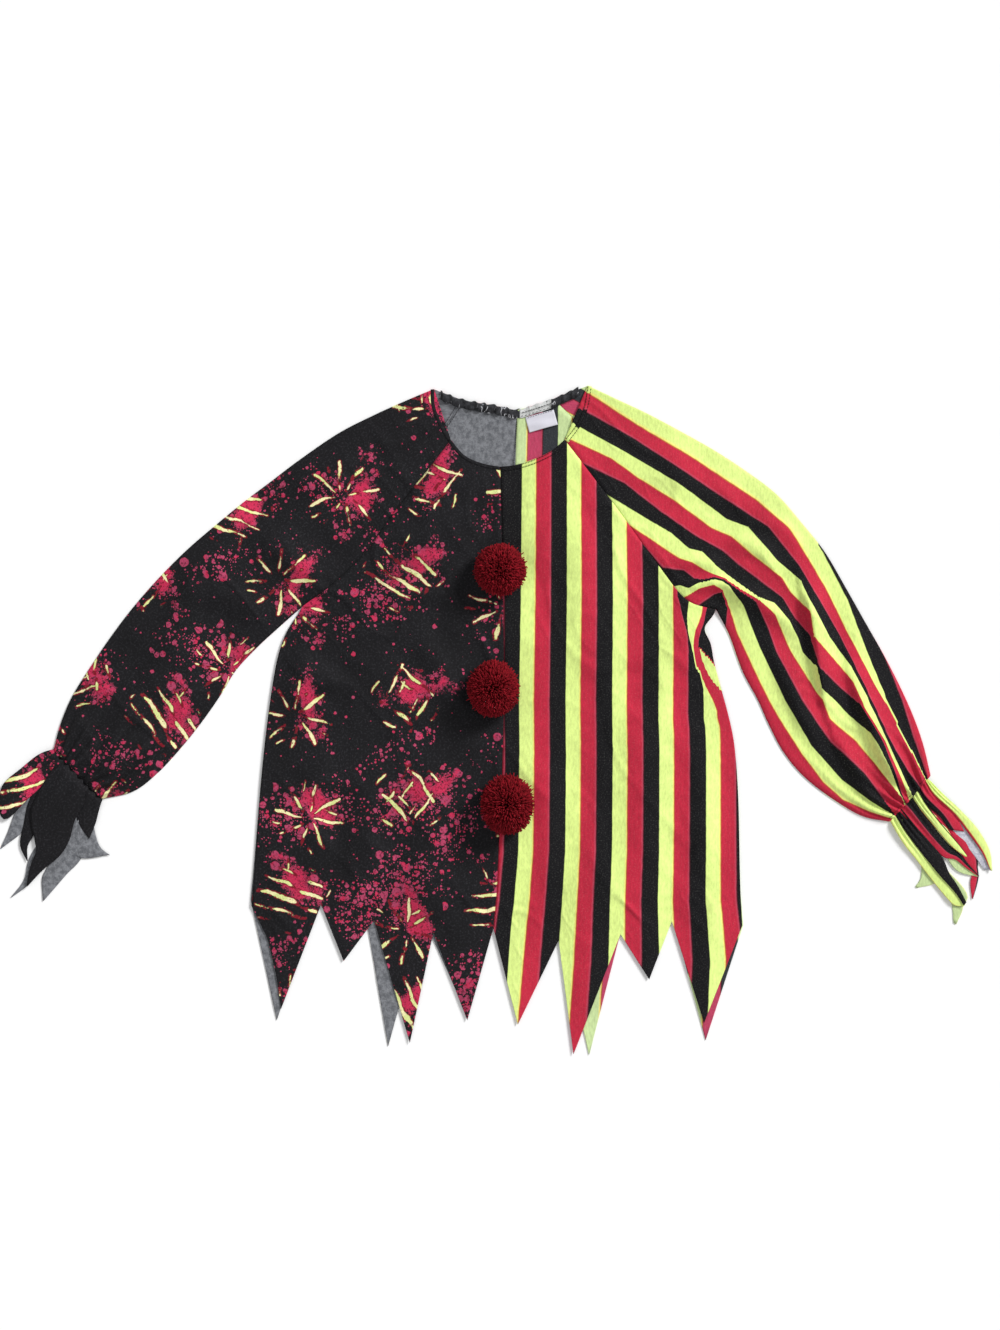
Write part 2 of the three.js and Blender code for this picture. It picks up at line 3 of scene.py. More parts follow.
import bpy
import numpy as np
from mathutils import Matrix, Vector


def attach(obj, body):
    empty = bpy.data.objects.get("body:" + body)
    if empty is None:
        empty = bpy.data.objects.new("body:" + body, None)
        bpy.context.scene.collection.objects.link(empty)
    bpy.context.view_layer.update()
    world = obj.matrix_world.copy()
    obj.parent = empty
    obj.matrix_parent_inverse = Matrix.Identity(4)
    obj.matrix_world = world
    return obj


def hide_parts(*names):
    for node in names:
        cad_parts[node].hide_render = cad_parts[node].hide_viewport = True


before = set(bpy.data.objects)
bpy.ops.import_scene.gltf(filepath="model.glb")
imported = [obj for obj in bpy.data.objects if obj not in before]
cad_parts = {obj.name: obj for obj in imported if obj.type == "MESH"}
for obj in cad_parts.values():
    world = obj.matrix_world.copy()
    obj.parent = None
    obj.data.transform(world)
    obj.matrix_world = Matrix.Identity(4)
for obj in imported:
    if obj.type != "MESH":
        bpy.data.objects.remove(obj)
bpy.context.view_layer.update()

# Garment coordinates are millimetres with the same axes as the frame; SHIFT moves them onto it.
MM = 0.001
SHIFT = np.array([-0.66, 0.35])
SEED = 7

# Thickness of a layer of the solids, that with the gap under it, and thickness of the cloth that shows.
WALL = 1.4
LAYER = 1.7
CLOTH = 0.7
# Level of the lower layer's underside, and the lowest that any point may be.
FLOOR_GAP = 0.3
LOWEST = 0.05
# How far the upper layer rises inwards from an edge, over what distance, how far it starts below the
# solid's top, and the share of its unevenness at the edge.
LOFT = 1.9
EDGE_SOFTNESS = 34.0
EDGE_SINK = 0.2
EDGE_SHARE = 0.25
CHEST_Y = 75.0
WAIST_Y = -30.0

# Unevenness of the upper layer: height and size of its waves and of its creases.
WAVES = ((1.3, 40), (0.6, 17), (0.18, 7))
CREASES = ((1.5, 46), (0.8, 23))
CREASE_COS = 0.8
CREASE_SIN = 0.6
CREASE_STRETCH = 0.55
CREASE_SHARPNESS = 5.5
NOISE_CELLS = 64
NOISE_SHIFT = 31.7
# More than any distance, and the difference below which two distances count as equal.
FAR = 1e9
TIE = 1e-6

SEAM_PRINTED_FRONT = [(-52, 322), (-78, 288), (-105, 255), (-127, 225), (-148, 195), (-185, 158), (-222, 131)]
SEAM_PRINTED_BACK = [(-39, 368), (-58, 338), (-84, 307), (-110, 276), (-140, 238), (-180, 185), (-222, 131)]
SEAM_STRIPED_FRONT = [(79, 322), (114, 276), (134, 250), (153, 224), (187, 177), (219, 138), (253, 127)]
SEAM_STRIPED_BACK = [(66, 369), (93, 342), (118, 309), (143, 276), (175, 224), (212, 166), (253, 127)]

NECK_PRINTED_FRONT = [(5, 291), (-16, 295), (-36, 304), (-52, 322)]
NECK_STRIPED_FRONT = [(5, 291), (22, 293), (42, 299), (63, 309), (79, 322)]
NECK_PRINTED_BACK = [(24, 356), (-8, 362), (-39, 368)]
NECK_STRIPED_BACK = [(24, 356), (46, 362), (66, 369)]

# Lines down a panel from the centre to the side: chest x, waist x, base x, base y, hem x, hem y.
BODY_PRINTED_FRONT = [
    (9, 8, 1, -195, -3, -239),
    (-23, -22, -34, -196, -33, -345),
    (-54, -55, -72, -198, -72, -244),
    (-86, -89, -101, -194, -99, -371),
    (-118, -123, -139, -190, -140, -230),
    (-151, -158, -172, -186, -175, -277),
    (-184, -193, -203, -182, -201, -212),
    (-217, -229, -242, -178, -247, -332),
    (-250, -266, -278, -176, -281, -213),
]
BODY_STRIPED_FRONT = [
    (9, 8, 1, -195, -3, -239),
    (42, 41, 36, -200, 25, -350),
    (74, 75, 71, -205, 72, -253),
    (104, 106, 98, -205, 89, -384),
    (133, 139, 141, -205, 143, -246),
    (160, 170, 174, -203, 176, -298),
    (190, 204, 203, -200, 202, -231),
    (220, 239, 241, -200, 239, -348),
    (249, 274, 281, -200, 283, -236),
]
BODY_PRINTED_BACK = [
    (16, 13, 1, -188, -2, -230),
    (-18, -20, -38, -190, -37, -331),
    (-50, -54, -80, -190, -83, -228),
    (-84, -90, -120, -190, -124, -375),
    (-118, -125, -149, -188, -150, -223),
    (-151, -160, -174, -184, -174, -264),
    (-184, -195, -205, -180, -204, -202),
    (-217, -230, -247, -178, -252, -345),
    (-250, -266, -279, -174, -282, -207),
]
BODY_STRIPED_BACK = [
    (16, 13, 1, -188, -2, -230),
    (44, 42, 34, -195, 22, -336),
    (74, 75, 72, -200, 74, -241),
    (104, 108, 105, -202, 107, -385),
    (133, 140, 143, -202, 145, -237),
    (160, 171, 175, -200, 177, -288),
    (190, 205, 204, -198, 202, -223),
    (220, 240, 242, -198, 241, -368),
    (249, 274, 281, -198, 284, -236),
]

# Sections of a sleeve from the neck to the wrist: the folded shoulder edge and the underarm edge.
FOLD_PRINTED = [
    (-71, 380), (-100, 368), (-140, 350), (-181, 329), (-225, 299), (-258, 274), (-291, 249), (-325, 221),
    (-355, 195), (-386, 164), (-415, 131), (-441, 97), (-466, 60), (-487, 26), (-500, -5), (-508, -34),
]
UNDER_PRINTED = [
    (-222, 131), (-249, 107), (-275, 83), (-299, 57), (-317, 28), (-338, -2), (-362, -32), (-389, -61),
    (-417, -82), (-453, -91),
]
FOLD_STRIPED = [
    (105, 384), (139, 368), (173, 352), (207, 334), (248, 311), (285, 287), (322, 259), (352, 225),
    (378, 192), (402, 151), (424, 112), (445, 75), (464, 38), (480, 2), (491, -30), (499, -64),
]
UNDER_STRIPED = [
    (253, 127), (268, 98), (283, 57), (301, 23), (314, -6), (330, -36), (352, -63), (383, -88),
    (420, -110), (452, -117),
]

# Folds of the upper layer: gain of all heights, share of the height at a fold's ends, and for each the
# points along its crest, half width on its left and right, height.
FOLD_GAIN = 1.85
FOLD_ENDS = 0.25
FOLDS = [
    ([(350, 152), (358, 132), (366, 92), (372, 50), (381, 0)], 17, 5, 6.5),
    ([(404, 62), (418, 20), (436, -24), (452, -58), (466, -88)], 16, 6, 6.0),
    ([(226, 158), (262, 154), (300, 139), (330, 116), (346, 94)], 8, 15, 5.5),
    ([(204, 176), (226, 184), (246, 180), (262, 164)], 9, 12, 3.2),
    ([(262, 196), (282, 206), (306, 196), (322, 172)], 10, 12, 3.4),
    ([(318, 228), (340, 220), (352, 196)], 10, 12, 2.6),
    ([(312, 96), (330, 50), (352, 4), (376, -34)], 16, 9, 3.6),
    ([(384, -10), (408, -50), (436, -92)], 10, 8, 4.2),
    ([(150, 300), (230, 268), (300, 236)], 20, 18, 1.8),
    ([(388, 166), (412, 116), (434, 66)], 14, 10, 2.2),
    ([(-196, 152), (-230, 178), (-266, 208)], 14, 18, 3.0),
    ([(-262, 118), (-300, 140), (-334, 150)], 18, 14, 3.0),
    ([(-352, 96), (-380, 66), (-404, 30)], 18, 15, 3.2),
    ([(-404, 30), (-430, -6), (-452, -48)], 13, 12, 4.2),
    ([(-446, 62), (-470, 18), (-486, -24)], 13, 11, 3.2),
    ([(-388, -20), (-420, -44), (-456, -66)], 9, 9, 4.0),
    ([(-130, 304), (-170, 290), (-214, 268)], 20, 18, 2.0),
    ([(-300, 214), (-340, 176), (-370, 130)], 20, 22, 2.2),
    ([(-248, 84), (-212, 56), (-168, 34)], 13, 17, 2.8),
    ([(-262, 40), (-220, 22), (-186, 2)], 12, 14, 1.8),
    ([(-92, 104), (-60, 52), (-24, -16)], 15, 16, 2.4),
    ([(-150, 140), (-100, 146), (-40, 142)], 9, 12, 1.8),
    ([(-206, -36), (-212, -100), (-214, -170)], 20, 20, 2.0),
    ([(-70, -80), (-80, -150), (-84, -214)], 18, 20, 2.4),
    ([(-150, -60), (-146, -130), (-150, -200)], 16, 20, 1.6),
    ([(240, 112), (190, 86), (132, 58)], 14, 18, 2.6),
    ([(238, 86), (206, 62), (176, 34)], 10, 12, 1.8),
    ([(88, 252), (96, 140), (98, 20)], 20, 20, 1.8),
    ([(168, 20), (172, -90), (176, -190)], 20, 22, 2.4),
    ([(62, -60), (64, -140), (66, -220)], 16, 18, 1.8),
    ([(232, -20), (238, -110), (240, -200)], 14, 16, 2.4),
    ([(128, 130), (132, 20), (136, -90)], 18, 18, 1.4),
]

# Boundaries between the stripes of the sleeve, counted in thirds of a repeat from the shoulder fold.
STRIPE_LINES = {
    -1: [(444, 79), (466, 23), (478, -17), (494, -63)],
    0: [(375, 194), (404, 138), (421, 91), (445, 32), (452, 10), (484, -49)],
    1: [(106, 375), (164, 337), (226, 300), (297, 253), (336, 220), (358, 185), (378, 151), (401, 104),
        (419, 70), (435, 40), (452, 13), (484, -50)],
    2: [(101, 355), (155, 325), (220, 282), (263, 253), (313, 221), (348, 177), (365, 146), (394, 98),
        (420, 43), (451, -23), (471, -58), (484, -74)],
    3: [(94, 338), (147, 309), (206, 274), (236, 253), (265, 231), (290, 222), (323, 183), (350, 161),
        (359, 138), (383, 95), (407, 63), (421, 36), (438, -1), (471, -74)],
    4: [(85, 322), (132, 300), (162, 278), (202, 253), (247, 220), (270, 210), (291, 191), (328, 163),
        (337, 147), (359, 125), (363, 95), (389, 68), (409, 44), (421, 14), (445, -23), (470, -82)],
    5: [(100, 294), (147, 272), (189, 239), (231, 210), (260, 194), (277, 179), (329, 140), (343, 116),
        (360, 98), (369, 60), (395, 37), (419, 17), (444, -26), (466, -88)],
    6: [(126, 260), (164, 237), (202, 215), (222, 197), (237, 194), (252, 177), (277, 158), (300, 140),
        (319, 135), (336, 115), (347, 94), (352, 78), (368, 62), (373, 36), (391, 21), (405, 6),
        (428, -13), (438, -28), (450, -53), (462, -82)],
    7: [(154, 223), (189, 199), (210, 185), (225, 180), (238, 172), (250, 166), (262, 162), (280, 149),
        (301, 138), (319, 121), (329, 98), (337, 80), (358, 47), (374, 23), (382, 1), (413, -25),
        (435, -51), (457, -79)],
    8: [(170, 200), (191, 175), (204, 173), (215, 172), (227, 162), (238, 160), (250, 164), (262, 161),
        (280, 148), (297, 137), (313, 102), (321, 78), (350, 23), (383, -25), (421, -60), (445, -92)],
    9: [(204, 154), (211, 155), (221, 151), (232, 158), (250, 162), (260, 159), (266, 155), (284, 132),
        (303, 84), (332, 23), (362, -29), (397, -68), (429, -92), (448, -104)],
    10: [(215, 140), (233, 151), (249, 155), (259, 149), (268, 127), (277, 98), (301, 47), (313, 23),
         (324, 3), (351, -39), (375, -71), (398, -92), (430, -106), (450, -112)],
    11: [(231, 130), (250, 144), (260, 148), (266, 129), (263, 100), (280, 50), (295, 18), (308, -12),
         (325, -42), (347, -70), (380, -95), (418, -118), (452, -126)],
}

# Stripes of the body: rows of y, x of the first lime stripe's left edge, width of one repeat.
BODY_STRIPES = [
    (330, 29.9, 51.5),
    (253, 29.3, 51.8),
    (138, 28.2, 52.9),
    (23, 26.2, 53.3),
    (-35, 26.6, 53.5),
    (-150, 25.3, 53.8),
    (-207, 20.7, 54.9),
    (-230, 17.8, 56.1),
    (-276, 12.7, 58.2),
    (-322, 8.5, 58.8),
    (-390, 2.0, 60.0),
]

POMPOMS = [
    ("pompom_upper", 5, 172, 29, 1.0),
    ("pompom_middle", -3, 36, 29, 1.1),
    ("pompom_lower", 13, -96, 30, 1.14),
]
PAD_LEVEL = 5.0
PAD_INNER = 20.0
PAD_OUTER = 40.0

CASING_EDGE = [
    (-64, 378), (-47, 371), (-32, 367), (-2, 362), (24, 357), (44, 362), (62, 368), (79, 375), (94, 382),
]

# The front's stripes beside the underarm: y, then x of the lines from the fourth lime stripe's left edge
# onwards, each a third of a repeat apart. Beyond the last line the cloth is folded back.
SIDE_STRIPES = [
    (0, (186, 203.8, 221.2, 238.4, 254.9, 269.3)),
    (11, (186.2, 204, 221.1, 238.4, 254.4, 267.4)),
    (21, (186.3, 204, 221.1, 238.4, 250.4, 264.2)),
    (32, (186.4, 204, 221.1, 238.4, 244.3, 258.9)),
    (42, (186.5, 204, 221.1, 238.0, 238.6, 249.6)),
    (52, (186.4, 204, 221.1, 234.9, 235.1, 242.7)),
    (62, (186.3, 204, 221.1, 229.8, 230.0, 238.2)),
    (72, (186.2, 204, 221.1, 227.2, 227.4, 234.5)),
    (82, (186.2, 204, 221.4, 225.2, 226.2, 232.5)),
    (93, (186.1, 204, 220.7, 221.7, 227.2, 232.9)),
    (103, (186.2, 204, 219.0, 219.5, 229.2, 235.7)),
    (113, (186.4, 204, 216.2, 218.7, 233.7, 239.4)),
    (123, (186.4, 204, 213.4, 219.1, 237.4, 241.0)),
    (130, (186.3, 204, 212.0, 220.1, 238.0, 243.0)),
    (143, (186.2, 204, 208.0, 222.0, 240.0, 246.0)),
]
# Above this line from x, y, falling by its slope, the folded-back cloth at the side is black.
FOLDED_BLACK = (232.3, 84.4, 1.1)
# Repeats left of the first line of SIDE_STRIPES.
SIDE_COUNT = 3.0
# How far the red beside the centre seam reaches past its place in the repeat: y, distance. It does so up
# to CENTRE_LIMIT in x. Above CENTRE_BLACK in y the count isn't below BLACK_COUNT, so the seam is black.
CENTRE_RED = [(-150, 1.9), (-40, 2.1), (10, 1.0), (90, 0.4), (140, -0.8)]
CENTRE_LIMIT = 18
CENTRE_BLACK = 146
BLACK_COUNT = -0.3
# Width of one repeat, and the furthest that a stripe line of the sleeve reaches.
REPEAT = 53.4
WIDEST = 24.0

# The label, the width of the turned neck edge, how far the striped side is drawn in below the underarm,
# and how much longer the neck casing's cloth is than it lies.
LABEL_CORNER = (33.5, 347.6)
LABEL_SIZE = (34.0, 18.0)
LABEL_TILT = 0.27
HEM_WIDTH = 5.2
UNDERARM_TUCK = 9.0

# Counts of the cloth meshes: steps between two points of an outline, rows from the neck down, columns
# across a sleeve and a ruffle point, and rows over which the lower layer's stripes are evened out.
SPLIT = 18
BACK_SPLIT = 8
FRONT_BANDS = (60, 28, 38, 50)
BACK_BANDS = (36, 12, 20, 40)
ACROSS = 64
PETAL_ROWS = 30
PETAL_COLUMNS = 14
EVEN_ROWS = 16

# The sleeve: number and height of the gathers at the wrist, share and level of the pinch at the elastic,
# drop towards the underarm edge, and how far and in what turns the cloth goes round the shoulder fold.
WRIST_FOLDS = 8.5
WRIST_HEIGHT = 5.4
PINCH_SHARE = 0.35
PINCH_LEVEL = 3.0
UNDERARM_DROP = 1.6
FOLD_RADIUS = 1.1
FOLD_DEGREES = (60, 20, -20, -60)

# Materials of a sheet's upper and lower side, by their place in its piece's list.
RIGHT_UP = (0, 1)
WRONG_UP = (1, 0)
FADED_UP = (2, 0)

# Points of the ruffles, lowest first: left edge, right edge, level of the point, level at the elastic,
# crown, stripe counts at the two edges, 1 where no print shows, and which side is up.
PETALS_PRINTED = [
    ([(-498, -126), (-514, -165), (-522, -182), (-521, -207)],
     [(-470, -120), (-476, -157), (-495, -179), (-520, -208)],
     1.2, 2.4, 1.2, (0, 0), 1, WRONG_UP),
    ([(-520, -135), (-537, -160), (-543, -184), (-558, -204)],
     [(-503, -145), (-524, -174), (-538, -190), (-557, -204)],
     1.1, 2.0, 0.8, (0, 0), 1, WRONG_UP),
    ([(-538, -74), (-552, -104), (-561, -128), (-570, -148)],
     [(-522, -72), (-537, -104), (-542, -126), (-569, -148)],
     1.3, 2.4, 1.4, (0, 0), 1, WRONG_UP),
    ([(-480, -84), (-491, -130), (-487, -151), (-474, -159), (-445, -155)],
     [(-458, -90), (-462, -118), (-459, -136), (-454, -147), (-444, -155)],
     1.8, 3.0, 1.8, (0, 0), 1, WRONG_UP),
    ([(-519, -60), (-537, -94), (-543, -121), (-547, -143), (-539, -162)],
     [(-504, -64), (-522, -102), (-529, -128), (-538, -145), (-538, -162)],
     2.6, 4.6, 1.4, (0, 0), 1, RIGHT_UP),
    ([(-478, -74), (-484, -104), (-478, -121), (-468, -136)],
     [(-450, -88), (-456, -104), (-460, -119), (-467, -136)],
     3.6, 5.2, 1.8, (0, 0), 1, RIGHT_UP),
    ([(-498, -26), (-524, -39), (-546, -56), (-563, -70), (-570, -85), (-570, -107), (-565, -114)],
     [(-486, -44), (-508, -62), (-526, -80), (-540, -93), (-549, -103), (-556, -110), (-560, -113)],
     4.4, 5.0, 2.2, (0, 0), 0, RIGHT_UP),
    ([(-506, -52), (-533, -100), (-530, -136), (-528, -150), (-535, -169), (-539, -190)],
     [(-464, -78), (-482, -112), (-489, -136), (-500, -155), (-520, -172), (-538, -191)],
     4.8, 6.4, 2.2, (0, 0), 1, RIGHT_UP),
]
PETALS_STRIPED = [
    ([(483, -150), (489, -178), (482, -192)],
     [(507, -156), (507, -185), (484, -193)],
     1.0, 1.4, 0.5, (0.03, 0.30), 0, WRONG_UP),
    ([(507, -180), (523, -209), (526, -233)],
     [(535, -190), (537, -215), (529, -235)],
     1.0, 1.4, 0.5, (0.03, 0.30), 0, WRONG_UP),
    ([(500, -95), (523, -126), (545, -150), (561, -172)],
     [(532, -103), (547, -131), (561, -150), (569, -172)],
     1.6, 2.4, 0.8, (0.72, 0.97), 0, FADED_UP),
    ([(522, -140), (545, -172), (545, -188), (547, -205)],
     [(545, -140), (554, -172), (554, -185), (548, -206)],
     1.3, 2.0, 0.8, (0.37, 0.72), 0, RIGHT_UP),
    ([(495, -120), (518, -158), (531, -174), (553, -180)],
     [(515, -120), (534, -158), (547, -172), (555, -179)],
     2.0, 3.0, 0.8, (0.02, 0.31), 0, WRONG_UP),
    ([(452, -98), (468, -110), (486, -129), (502, -146), (515, -158), (527, -160), (540, -170),
      (553, -179)],
     [(466, -70), (486, -98), (503, -123), (520, -143), (532, -153), (545, -168), (555, -179)],
     3.4, 5.4, 1.6, (1.38, 1.97), 0, RIGHT_UP),
    ([(462, -52), (486, -86), (506, -106), (521, -126)],
     [(486, -52), (504, -86), (526, -107), (538, -128)],
     3.2, 5.6, 1.8, (0.80, 0.36), 0, RIGHT_UP),
    ([(478, -50), (499, -83), (526, -109), (543, -131), (558, -152), (568, -173)],
     [(496, -54), (513, -85), (535, -105), (554, -126), (567, -150), (570, -173)],
     3.6, 5.4, 1.6, (0.40, 0.02), 0, RIGHT_UP),
    ([(450, -62), (483, -98), (502, -121), (523, -145), (539, -157)],
     [(470, -60), (491, -92), (508, -115), (531, -142), (541, -156)],
     4.6, 6.6, 1.8, (0.34, -0.04), 0, RIGHT_UP),
    ([(452, -101), (465, -121), (484, -147), (509, -178), (527, -198), (537, -213)],
     [(466, -100), (481, -121), (497, -139), (512, -157), (520, -175), (530, -190), (540, -209)],
     5.2, 6.4, 1.1, (0.99, 0.70), 0, RIGHT_UP),
    ([(446, -106), (449, -114), (466, -139), (484, -162), (504, -188), (520, -207), (527, -213),
      (537, -214)],
     [(460, -98), (474, -124), (493, -150), (516, -178), (531, -198), (539, -212)],
     3.2, 4.6, 1.1, (0.31, 0.02), 0, RIGHT_UP),
]

# Brushed figures of the print: strokes from x, y to x, y in millimetres, and half width.
BURST = [
    (6, 2, 33, 9, 1.7), (4, 7, 17, 30, 1.5), (-2, 8, -6, 33, 1.7), (-7, 4, -30, 18, 1.5),
    (-8, -2, -34, -9, 1.8), (-4, -8, -18, -28, 1.4), (2, -8, 7, -33, 1.7), (8, -4, 28, -22, 1.5),
    (11, 14, 22, 16, 1.0), (-16, 22, -20, 30, 0.9), (14, -26, 20, -31, 0.9), (-22, -18, -31, -20, 1.0),
]
DIAMONDS = [
    (-3, 35, 26, -3, 1.6), (25, 4, -3, -34, 1.4), (3, -34, -26, 3, 1.7), (-25, -4, 2, 34, 1.4),
    (-2, 17, 13, -1, 1.2), (12, 2, -1, -17, 1.2), (2, -16, -13, 2, 1.2), (-12, -2, 1, 16, 1.2),
    (30, 16, 20, 24, 1.1), (-31, 14, -22, 25, 1.0), (29, -18, 19, -27, 1.0), (-30, -17, -19, -26, 1.1),
]
CLAWS = [
    (-28, 24, -10, -26, 1.8), (-15, 31, 3, -30, 2.0), (0, 31, 15, -27, 1.9), (14, 27, 26, -20, 1.6),
    (30, 26, 18, 20, 1.0), (-34, -20, -26, -30, 1.1), (33, 6, 37, -6, 1.0), (-36, 12, -31, 2, 1.0),
    (20, -30, 29, -30, 1.0), (-18, -32, -12, -36, 1.0), (-22, 33, -27, 30, 0.9), (6, -34, 11, -30, 0.9),
]
FIGURES = (BURST, DIAMONDS, CLAWS)
# Spacing of the figures in metres and its unevenness, and factors for the strokes' width and length.
CELL = 0.124
CELL_RANDOM = 0.42
STROKE_WIDTH = 0.98
FIGURE_SIZE = 1.12

# Drops of the splatter: spacing, chance where the level is 0, chance gained with it, largest radius.
DROPS = [
    (0.0024, 0.012, 0.60, 0.44),
    (0.0042, 0.012, 0.75, 0.44),
    (0.0078, 0.012, 0.80, 0.44),
    (0.0150, 0.018, 0.55, 0.40),
]
# Sprays of paint and clouds beside the figures: spacing, unevenness, shift and size in metres.
SPRAY_CELL = 0.128
SPRAY_RANDOM = 0.8
SPRAY_SHIFT = (0.31, 0.17, 0)
SPRAY_SIZE = 0.120
CLOUD_SHIFT = (0.014, 0.012, 0)
CLOUD_SIZE = 0.050

# Yarn ends of a pompom: number, radius, flattening, share of the length and of the radius at each ring,
# and how light each ring is painted; the darker rings towards the middle are painted shade deep in the ball.
STRANDS = 4200
STRAND_RADIUS = 0.84
SQUASH = 0.86
RINGS = ((0.34, 0.8), (0.66, 1.0), (0.90, 1.12), (1.0, 0.80))
RING_PAINTED_SHADE = (0.05, 0.35, 0.85, 1.0)
YARN_SEED = 20

# The camera's height, the point under it, and the long side of the view.
CAMERA_HEIGHT = 2.6
VIEW_CENTRE = (4.6, 63.25)
VIEW_LONG = 1.5295

# Colours, linear.
LIME = (0.73, 0.90, 0.27, 1)
LIME_EDGE = (0.90, 0.76, 0.20, 1)
RED = (0.52, 0.022, 0.052, 1)
RED_EDGE = (0.50, 0.055, 0.10, 1)
BLACK = (0.0068, 0.0064, 0.0078, 1)
PALE_LIME = (0.60, 0.75, 0.36, 1)
PALE_RED = (0.50, 0.055, 0.12, 1)
PALE_BLACK = (0.032, 0.036, 0.042, 1)
CRIMSON = (0.55, 0.024, 0.082, 1)
PINK = (0.42, 0.050, 0.118, 1)
STROKE = (0.88, 0.82, 0.44, 1)
STROKE_GREEN = (0.72, 0.78, 0.30, 1)
STROKE_SHADOW = (0.20, 0.006, 0.016, 1)
YARN_DARK = (0.135, 0.0022, 0.0055, 1)
YARN_LIGHT = (0.37, 0.009, 0.021, 1)
WRONG_DARK = (0.115, 0.120, 0.132, 1)
WRONG_LIGHT = (0.225, 0.232, 0.250, 1)
CASING_DARK = (0.012, 0.012, 0.014, 1)
CASING_GREY = (0.040, 0.041, 0.046, 1)
CASING_PALE = (0.42, 0.43, 0.42, 1)
CASING_LIGHT = (0.68, 0.69, 0.68, 1)
FADED_DARK = (0.44, 0.44, 0.52, 1)
FADED_LIGHT = (0.66, 0.66, 0.72, 1)
THREAD = (0.012, 0.011, 0.012)


def smooth(x, low, high):
    t = np.clip((x - low) / (high - low), 0, 1)
    return t * t * (3 - 2 * t)


def bell(x, width):
    return np.exp(-((x / width) ** 2))


def spline(points, t):
    """A Catmull-Rom curve through the points; t counts points."""
    p = np.asarray(points, float)
    t = np.atleast_1d(np.clip(t, 0, len(p) - 1))
    i = np.minimum(t.astype(int), len(p) - 2)
    f = (t - i)[:, None]
    padded = np.vstack([2 * p[0] - p[1], p, 2 * p[-1] - p[-2]])
    a, b, c, d = padded[i], padded[i + 1], padded[i + 2], padded[i + 3]
    return 0.5 * (2 * b + (c - a) * f + (2 * a - 5 * b + 4 * c - d) * f**2 + (3 * b - a - 3 * c + d) * f**3)


def length_along(points):
    steps = np.linalg.norm(np.diff(points, axis=0), axis=1)
    return np.concatenate([[0], np.cumsum(steps)])


def resampled(points, count, curved=True):
    """The same line by count points, evenly spaced along it."""
    fine = spline(points, np.linspace(0, len(points) - 1, 400)) if curved else np.asarray(points, float)
    run = length_along(fine)
    at = np.linspace(0, run[-1], count)
    return np.stack([np.interp(at, run, fine[:, k]) for k in (0, 1)], axis=1)


def chain_distance(xy, chain):
    """Distance to a chain of segments, side of it (+ is left), and share along it."""
    best = np.full(xy.shape[:-1], FAR)
    side = np.zeros(xy.shape[:-1])
    along = np.zeros(xy.shape[:-1])
    clearest = np.zeros(xy.shape[:-1])
    links = len(chain) - 1
    for k in range(links):
        a = np.asarray(chain[k], float)
        d = np.asarray(chain[k + 1], float) - a
        rel = xy - a
        t = np.clip((rel @ d) / (d @ d), 0, 1)
        away = np.linalg.norm(rel - t[..., None] * d, axis=-1)
        turn = (d[0] * rel[..., 1] - d[1] * rel[..., 0]) / np.linalg.norm(d)
        nearer = (away < best - TIE) | ((away < best + TIE) & (np.abs(turn) > clearest))
        best = np.where(nearer, away, best)
        side = np.where(nearer, turn, side)
        clearest = np.where(nearer, np.abs(turn), clearest)
        along = np.where(nearer, (k + t) / links, along)
    return best, side, along


def value_noise(xy, size, seed):
    """Smooth noise from -1 to 1 with features of about size millimetres."""
    table = np.random.default_rng(seed).uniform(-1, 1, (NOISE_CELLS, NOISE_CELLS))
    q = xy / size + NOISE_SHIFT
    i = np.floor(q).astype(int)
    f = q - i
    f = f * f * (3 - 2 * f)
    x, y = f[..., 0], f[..., 1]

    def pick(dx, dy):
        return table[(i[..., 0] + dx) % NOISE_CELLS, (i[..., 1] + dy) % NOISE_CELLS]

    low = pick(0, 0) * (1 - x) + pick(1, 0) * x
    high = pick(0, 1) * (1 - x) + pick(1, 1) * x
    return low * (1 - y) + high * y


def creases(xy, size, seed):
    """Thin soft ridges, as knit takes where it has been folded."""
    x, y = xy[..., 0], xy[..., 1]
    across = (y * CREASE_COS - x * CREASE_SIN) * CREASE_STRETCH
    turned = np.stack([x * CREASE_COS + y * CREASE_SIN, across], axis=-1)
    return np.maximum(0, 1 - np.abs(value_noise(turned, size, seed)) * CREASE_SHARPNESS)


def side_edge(seam, body):
    last = body[-1]
    return [seam[-1], (last[0], CHEST_Y), (last[1], WAIST_Y), (last[2], last[3]), (last[4], last[5])]


EDGES = [
    FOLD_PRINTED,
    FOLD_STRIPED,
    UNDER_PRINTED,
    UNDER_STRIPED,
    [p[4:] for p in BODY_PRINTED_FRONT],
    [p[4:] for p in BODY_STRIPED_FRONT],
    side_edge(SEAM_PRINTED_FRONT, BODY_PRINTED_FRONT),
    side_edge(SEAM_STRIPED_FRONT, BODY_STRIPED_FRONT),
    NECK_PRINTED_FRONT,
    NECK_STRIPED_FRONT,
]
CENTRE_SEAM = [(5, 291), (9, CHEST_Y), (8, WAIST_Y), (1, -195), (-3, -239)]
SEAMS = [SEAM_PRINTED_FRONT, SEAM_STRIPED_FRONT, CENTRE_SEAM]


